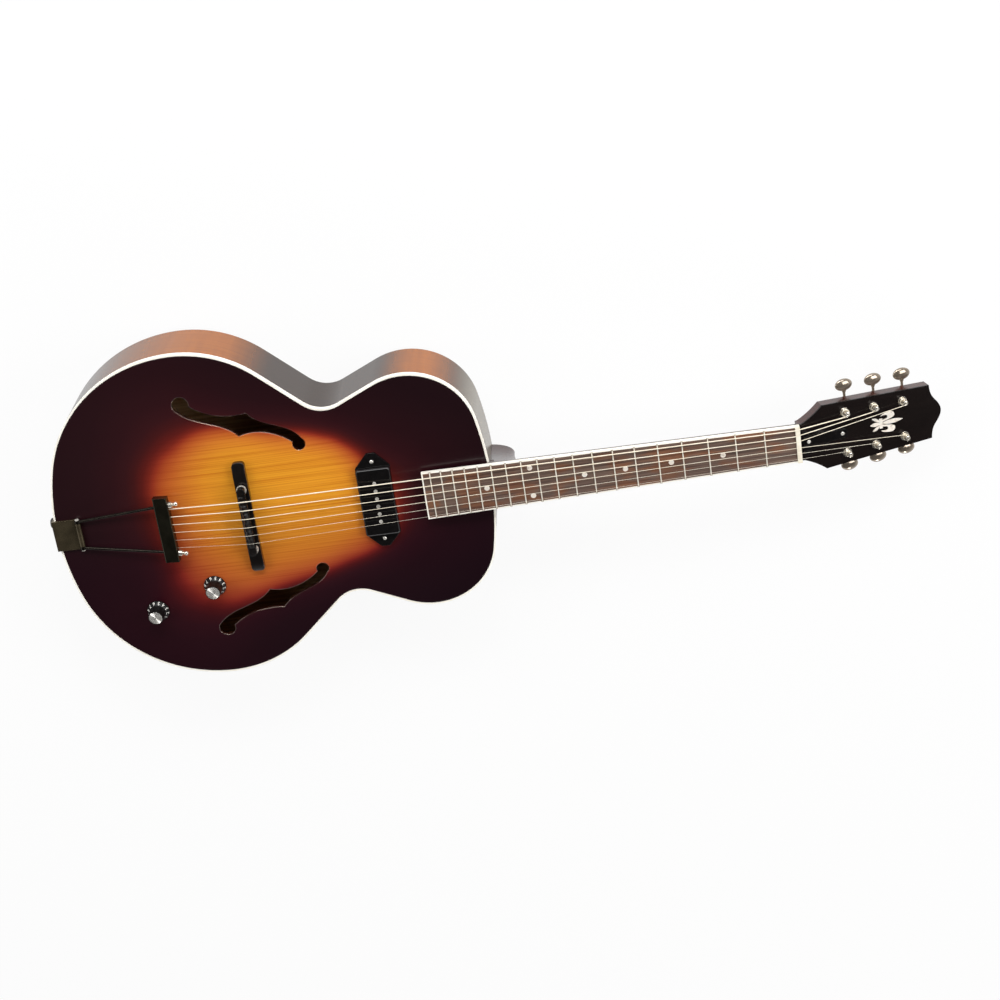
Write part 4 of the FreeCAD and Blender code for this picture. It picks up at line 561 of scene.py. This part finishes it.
# a tooth's corners are reach and turn; the gear screw's profile is radius and height from the gear
tunerSpec = {"first": 55.2, "step": 35.8, "edge": 25.2, "taper": 1.65, "post": 3.0, "top": 12.2, "teeth": 16,
             "axis": -17.4, "gearWidth": 3.0, "gearBevel": 0.12,
             "tooth": ((5.6, -0.145), (7.1, -0.03), (7.35, -0.015), (7.35, 0.015), (7.1, 0.03), (5.6, 0.145)),
             "screw": ((0, 0), (2.2, 0), (2.2, -0.6), (1.9, -1.0), (1.2, -1.2), (0, -1.2))}
tailSpec = {"tail": -515.2, "hinge": 28.8, "hingeHeight": 5.0, "rodEnd": 151.0, "rodHeight": 22.0,
            "bar": 133.5, "barWidth": 17.0, "wall": 2.0, "ball": 2.0}
saddleX = nutX - neckSpec["scale"] - stringSpec["setback"]


def crownDrop(y):
    return math.sqrt(neckSpec["round"] ** 2 - y * y) - neckSpec["round"]


def share(index):
    return 0.5 - index / 5


def saddlePoint(index):
    y = share(index) * stringSpec["saddleSpread"]
    height = stringSpec["crest"] + crownDrop(y) + stringSpec["sink"] * stringSpec["diameters"][index] / 2
    return bench @ Vector((saddleX + stringSpec["stagger"][index], y, height))


def nutPoint(index):
    y = share(index) * stringSpec["nutSpread"]
    height = crownDrop(y) + stringSpec["action"] + stringSpec["diameters"][index] / 2
    return neckFrame @ Vector((nutX, y, height))


def tunerSpot(index):
    side = 1 if index < 3 else -1
    rank = index if side > 0 else 5 - index
    along = tunerSpec["first"] + rank * tunerSpec["step"]
    across = side * (tunerSpec["edge"] - rank * tunerSpec["taper"])
    return Vector((along, across, 0)), side


def postTouch(index):
    centre, side = tunerSpot(index)
    start = headFrame.inverted() @ nutPoint(index)
    wrap = tunerSpec["post"] + stringSpec["clear"] + stringSpec["diameters"][index] / 2
    gap = Vector((centre.x - start.x, centre.y - start.y))
    lean = math.asin(wrap / gap.length)
    heading = math.atan2(gap.y, gap.x) - side * lean
    run = gap.length * math.cos(lean)
    x = start.x + run * math.cos(heading)
    y = start.y + run * math.sin(heading)
    return Vector((x, y, stringSpec["postHeight"]))


def ballPoint(index):
    rise = (tailSpec["rodHeight"] - tailSpec["hingeHeight"]) / (tailSpec["rodEnd"] - tailSpec["hinge"])
    slope = math.atan(rise)
    x = tailSpec["tail"] + tailSpec["bar"]
    z = tailSpec["hingeHeight"] + (tailSpec["bar"] - tailSpec["hinge"]) * rise
    barFrame = bench @ Matrix.Translation((x, 0, z)) @ Matrix.Rotation(-slope, 4, "Y")
    inside = tailSpec["barWidth"] / 2 - tailSpec["wall"] - tailSpec["ball"]
    return barFrame @ Vector((inside, share(index) * stringSpec["tailSpread"], -1.0))


def between(first, last, count):
    return [first.lerp(last, step / count) for step in range(count + 1)]


def windingFinish():
    kit = Finish("woundString")
    x = kit.axes()[0]
    turn = (x * 15000.0).sine() * 0.5 + 0.5
    stain = kit.noise(kit.stretch((60.0, 900.0, 900.0)), 1.0)
    colour = kit.ramp(stain, ((0.3, rgb(240, 226, 200)), (0.7, rgb(255, 246, 226))))
    return kit.surface(Base_Color=colour, Metallic=0.15, Roughness=0.28 + stain * 0.12,
                       Normal=kit.bump(turn, 0.00004))


def addStrings():
    wound = windingFinish()
    plain = finishes["string_steel"]
    parts = stringSpec["parts"]
    for index, diameter in enumerate(stringSpec["diameters"]):
        number = 6 - index
        radius = diameter / 2000                      # in metres
        isWound = index < stringSpec["wound"]
        finish = wound if isWound else plain
        stands = "wound_strings" if isWound else "plain_strings"
        saddle = saddlePoint(index)
        nut = nutPoint(index)
        ball = ballPoint(index)
        shape = bmesh.new()
        pipe(shape, between(ball, saddle, parts["tail"]), radius)
        tail = addPiece("string%dTail" % number, shape, finish, None, stands, slot="string_steel")
        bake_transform(tail)
        shape = bmesh.new()
        touch = headFrame @ postTouch(index)
        pipe(shape, between(saddle, nut, parts["play"]) + between(nut, touch, parts["head"])[1:], radius)
        play = addPiece("string%dPlay" % number, shape, finish, None, stands, slot="string_steel")
        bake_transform(play)
        shape = bmesh.new()
        turnAcross = Matrix.Translation(ball) @ Matrix.Rotation(math.pi / 2, 4, "X")
        spin(shape, turnAcross @ Matrix.Scale(0.001, 4), stringSpec["ball"], 24)
        addPiece("string%dBall" % number, shape, finishes["plate_brass"], wholeGuitar, slot="plate_brass")
    print("strings made")


def postProfile(post, top, gearTop):                  # dished top, waist for the string, foot on the gear
    return ((0, top - 0.35), (1.2, top - 0.35), (1.5, top), (post - 0.5, top), (post - 0.12, top - 0.25),
            (post, top - 0.7), (post, 10.2), (post - 0.3, 9.5), (post - 0.4, 8.0), (post - 0.3, 4.4),
            (post, 3.6), (post, -13.2), (post + 1.2, -13.3), (post + 1.2, gearTop), (0, gearTop))


def addPosts():
    for index, diameter in enumerate(stringSpec["diameters"]):
        number = 6 - index
        body = "tuner_post_%d" % number
        centre, side = tunerSpot(index)
        stand = headFrame @ Matrix.Translation(centre)
        post = tunerSpec["post"]
        low = tunerSpec["axis"] - tunerSpec["gearWidth"] / 2
        high = low + tunerSpec["gearWidth"]
        shape = bmesh.new()
        spin(shape, stand, postProfile(post, tunerSpec["top"], high), 40)
        addPiece("tunerPost%d" % number, shape, finishes["nickel"], body, body, slot="nickel")
        shape = bmesh.new()
        outline = []
        for tooth in range(tunerSpec["teeth"]):
            for reach, lean in tunerSpec["tooth"]:
                angle = 2 * math.pi * tooth / tunerSpec["teeth"] + lean
                outline.append((reach * math.cos(angle), reach * math.sin(angle)))
        slab(shape, stand, outline, low, high, tunerSpec["gearBevel"])
        addPiece("tunerGear%d" % number, shape, finishes["plate_brass"], body, sharp=30.0, slot="plate_brass")
        shape = bmesh.new()
        spin(shape, stand, [(radius, low + height) for radius, height in tunerSpec["screw"]], 32)
        addPiece("gearScrew%d" % number, shape, finishes["rod_steel"], body, slot="rod_steel")
        touch = postTouch(index)
        startAngle = math.atan2(touch.y - centre.y, touch.x - centre.x)
        reach = post + stringSpec["clear"] + diameter / 2
        drop = -(diameter + stringSpec["lift"])
        begin = stringSpec["postHeight"] + drop * stringSpec["wrapStart"] - diameter / 4
        turns = stringSpec["turns"][index]
        lead = Vector((-side * math.sin(startAngle), side * math.cos(startAngle), 0))
        first = Vector((centre.x + reach * math.cos(startAngle),
                        centre.y + reach * math.sin(startAngle), begin))
        route = [first - lead * diameter]
        steps = int(stringSpec["wrapSteps"] * turns)
        for step in range(steps + 1):
            angle = startAngle + side * 2 * math.pi * turns * step / steps
            route.append(Vector((centre.x + reach * math.cos(angle), centre.y + reach * math.sin(angle),
                                 begin + drop * turns * step / steps)))
        shape = bmesh.new()
        pipe(shape, [headFrame @ point for point in route], diameter / 2000)
        addPiece("stringWrap%d" % number, shape, finishes["string_steel"], body, slot="string_steel")
    print("tuner posts made")


# knobs

knobSpec = {"names": ("volume_knob", "tone_knob"),
            "cap": ((0, 17.0), (3.02, 17.0), (3.02, 6.0), (8.0, 6.0), (8.0, 1.0), (12.9, 1.0), (13.15, 1.15),
                    (13.2, 1.5), (13.1, 1.85), (9.75, 5.2), (9.25, 5.7), (9.0, 6.4), (8.72, 17.8),
                    (8.62, 18.5), (8.4, 18.9), (8.15, 19.0), (8.0, 18.9), (8.0, 18.2), (0, 18.2)),
            "shaft": ((0, -9.6), (2.6, -9.6), (3.0, -9.2), (3.0, 16.98), (0, 16.98)),
            "insert": {"radius": 7.98, "low": 18.2, "high": 18.95, "rings": 9, "ridge": 0.2},
            "numerals": {"last": 10, "sweep": 300.0, "middle": 5.5, "faces": 90.0, "size": 5.6, "thick": 0.03,
                         "radius": 11.45, "height": 3.52, "lean": 45.0}}


def numeralPaint():
    kit = Finish("numeralPaint")
    wear = kit.noise(kit.stretch((900.0, 900.0, 900.0)), 1.0)
    colour = kit.ramp(wear, ((0.3, rgb(240, 236, 226)), (0.7, rgb(255, 253, 248))))
    return kit.surface(Base_Color=colour, Roughness=0.4 + wear * 0.1)


def addNumerals(knob, seat, paint):
    spec = knobSpec["numerals"]
    for number in range(1, spec["last"] + 1):
        data = bpy.data.curves.new("%sNumeral%d" % (knob, number), "FONT")
        data.body = str(number)
        data.size = spec["size"] / 1000
        data.extrude = spec["thick"] / 1000
        data.align_x = "CENTER"
        data.align_y = "CENTER"
        data.resolution_u = 3
        data.materials.append(paint)
        numeral = bpy.data.objects.new(data.name, data)
        bpy.context.scene.collection.objects.link(numeral)
        angle = spec["faces"] + (number - spec["middle"]) * spec["sweep"] / spec["last"]
        around = Matrix.Rotation(math.radians(angle), 4, "Z")
        outward = Matrix.Translation((spec["radius"] / 1000, 0, spec["height"] / 1000))
        upright = Matrix.Rotation(math.radians(90), 4, "Z")
        lean = Matrix.Rotation(math.radians(spec["lean"]), 4, "Y")
        numeral.matrix_world = seat @ around @ outward @ lean @ upright
        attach(numeral, knob)


def addKnobs():
    black = blackPlastic("knobBlack", 0.3, 0.22)
    paint = numeralPaint()
    bright = plated("knobInsert", (226, 222, 214), (246, 243, 238), 0.14, 0.85)
    for joint in frame["record"]["behaviour"]["joints"]:
        knob = joint["child"]
        if knob not in knobSpec["names"]:
            continue
        turn = Vector((0, 0, 1)).rotation_difference(Vector(joint["axis"]))
        seat = Matrix.Translation(joint["pos_m"]) @ turn.to_matrix().to_4x4()
        stand = seat @ Matrix.Scale(0.001, 4)
        shape = bmesh.new()
        spin(shape, stand, knobSpec["cap"], 72)
        addPiece(knob + "Cap", shape, black, knob, knob, sharp=35.0, slot="black_plastic")
        shape = bmesh.new()
        spin(shape, stand, knobSpec["shaft"], 40)
        addPiece(knob + "Shaft", shape, finishes["pot_metal"], knob, knob, slot="pot_metal")
        spec = knobSpec["insert"]
        pitch = spec["radius"] / spec["rings"]
        profile = [(0, spec["low"]), (spec["radius"], spec["low"])]
        for ring in range(spec["rings"], 0, -1):
            profile.append((ring * pitch, spec["high"] - spec["ridge"]))
            profile.append(((ring - 0.5) * pitch, spec["high"]))
        profile.append((0, spec["high"] - spec["ridge"]))
        shape = bmesh.new()
        spin(shape, stand, profile, 72)
        addPiece(knob + "Insert", shape, bright, knob, knob + "_insert", sharp=15.0, slot="nickel")
        addNumerals(knob, seat, paint)
    print("knobs made")


addStrings()
addPosts()
addKnobs()


# camera, light and floor

view = {"place": (0.182319, 0.986331, 2.364669), "lens": 77.6215, "sensor": 36.0, "far": 50.0,
        "right": (0.990234, -0.138677, -0.014312), "up": (0.120605, 0.903607, -0.411033),
        "back": (0.069933, 0.405293, 0.911508)}


def setCamera():
    data = bpy.data.cameras.new("photoView")
    data.lens = view["lens"]
    data.sensor_width = view["sensor"]
    data.clip_end = view["far"]
    camera = bpy.data.objects.new("photoView", data)
    bpy.context.scene.collection.objects.link(camera)
    turn = Matrix((view["right"], view["up"], view["back"])).transposed()
    camera.matrix_world = Matrix.Translation(view["place"]) @ turn.to_4x4()
    bpy.context.scene.camera = camera


# place, what it aims at, width and height, power
lamps = {"bassStrip": ((0.0, 1.8, 1.35), (-0.05, 0.0, 0.05), (3.2, 0.8), 46.0),
         "headSoftbox": ((1.7, 0.3, 1.5), (-0.1, 0.0, 0.05), (1.0, 1.0), 20.0),
         "tailSoftbox": ((-1.8, 0.3, 1.3), (-0.1, 0.0, 0.05), (0.9, 0.9), 9.0),
         "trebleStrip": ((0.0, -2.4, 0.8), (-0.1, 0.0, 0.05), (2.4, 0.5), 7.0),
         "trebleGlint": ((1.2, -2.0, 1.0), (-0.1, 0.0, 0.05), (0.3, 0.3), 8.0),
         "bassGlint": ((0.2, 2.3, 1.7), (-0.1, 0.0, 0.05), (0.35, 0.35), 10.0)}


def softLamp(name, place, target, size, power):
    data = bpy.data.lights.new(name, "AREA")
    data.shape = "RECTANGLE"
    data.size = size[0]
    data.size_y = size[1]
    data.energy = power
    lamp = bpy.data.objects.new(name, data)
    bpy.context.scene.collection.objects.link(lamp)
    aim = Vector(target) - Vector(place)
    lamp.matrix_world = Matrix.Translation(place) @ aim.to_track_quat("-Z", "Y").to_matrix().to_4x4()


# paper is the share of plain white where the floor is seen; the rest keeps the shadow
floorSpec = {"half": 12.0, "tone": 0.85, "paper": 0.92}
white = (1.0, 1.0, 1.0, 1.0)


def paleFloor():
    mesh = bpy.data.meshes.new("paleFloor")
    half = floorSpec["half"]
    tone = floorSpec["tone"]
    corners = [(-half, -half, 0), (half, -half, 0), (half, half, 0), (-half, half, 0)]
    mesh.from_pydata(corners, [], [(0, 1, 2, 3)])
    floor = bpy.data.objects.new("paleFloor", mesh)
    bpy.context.scene.collection.objects.link(floor)
    kit = Finish("paleFloor")
    matt = kit.node("ShaderNodeBsdfDiffuse", inputs={"Color": (tone, tone, tone, 1.0)})
    paper = kit.node("ShaderNodeEmission", inputs={"Color": white, "Strength": 1.0})
    paperShare = kit.seen() * floorSpec["paper"]
    both = kit.node("ShaderNodeMixShader", inputs={0: paperShare, 1: matt, 2: paper})
    kit.tree.links.new(both.socket, kit.output.inputs["Surface"])
    mesh.materials.append(kit.material)


# strengths of the horizon, the ceiling and the paper, and the rises over which each gives way
roomSpec = {"levels": (0.5, 0.04, 1.0), "dims": (0.3, 0.75), "paperEnds": (0.05, 0.3)}


def studioRoom():
    kit = Finish("studioRoom", room=True)
    way = kit.node("ShaderNodeTexCoord", out=0)
    rise = kit.node("ShaderNodeSeparateXYZ", inputs={0: way}, out=2)
    horizon, ceiling, paper = [kit.node("ShaderNodeBackground", inputs={"Color": white, "Strength": level})
                               for level in roomSpec["levels"]]
    dome = kit.node("ShaderNodeMixShader", inputs={0: rise.step(*roomSpec["dims"]), 1: horizon, 2: ceiling})
    low = 1 - rise.step(*roomSpec["paperEnds"])
    room = kit.node("ShaderNodeMixShader", inputs={0: kit.seen() * low, 1: dome, 2: paper})
    kit.tree.links.new(room.socket, kit.output.inputs["Surface"])
    bpy.context.scene.world = kit.material


setCamera()
studioRoom()
paleFloor()
for name, setting in lamps.items():
    softLamp(name, *setting)
bpy.context.scene.view_settings.view_transform = "Standard"
print("camera and light set")
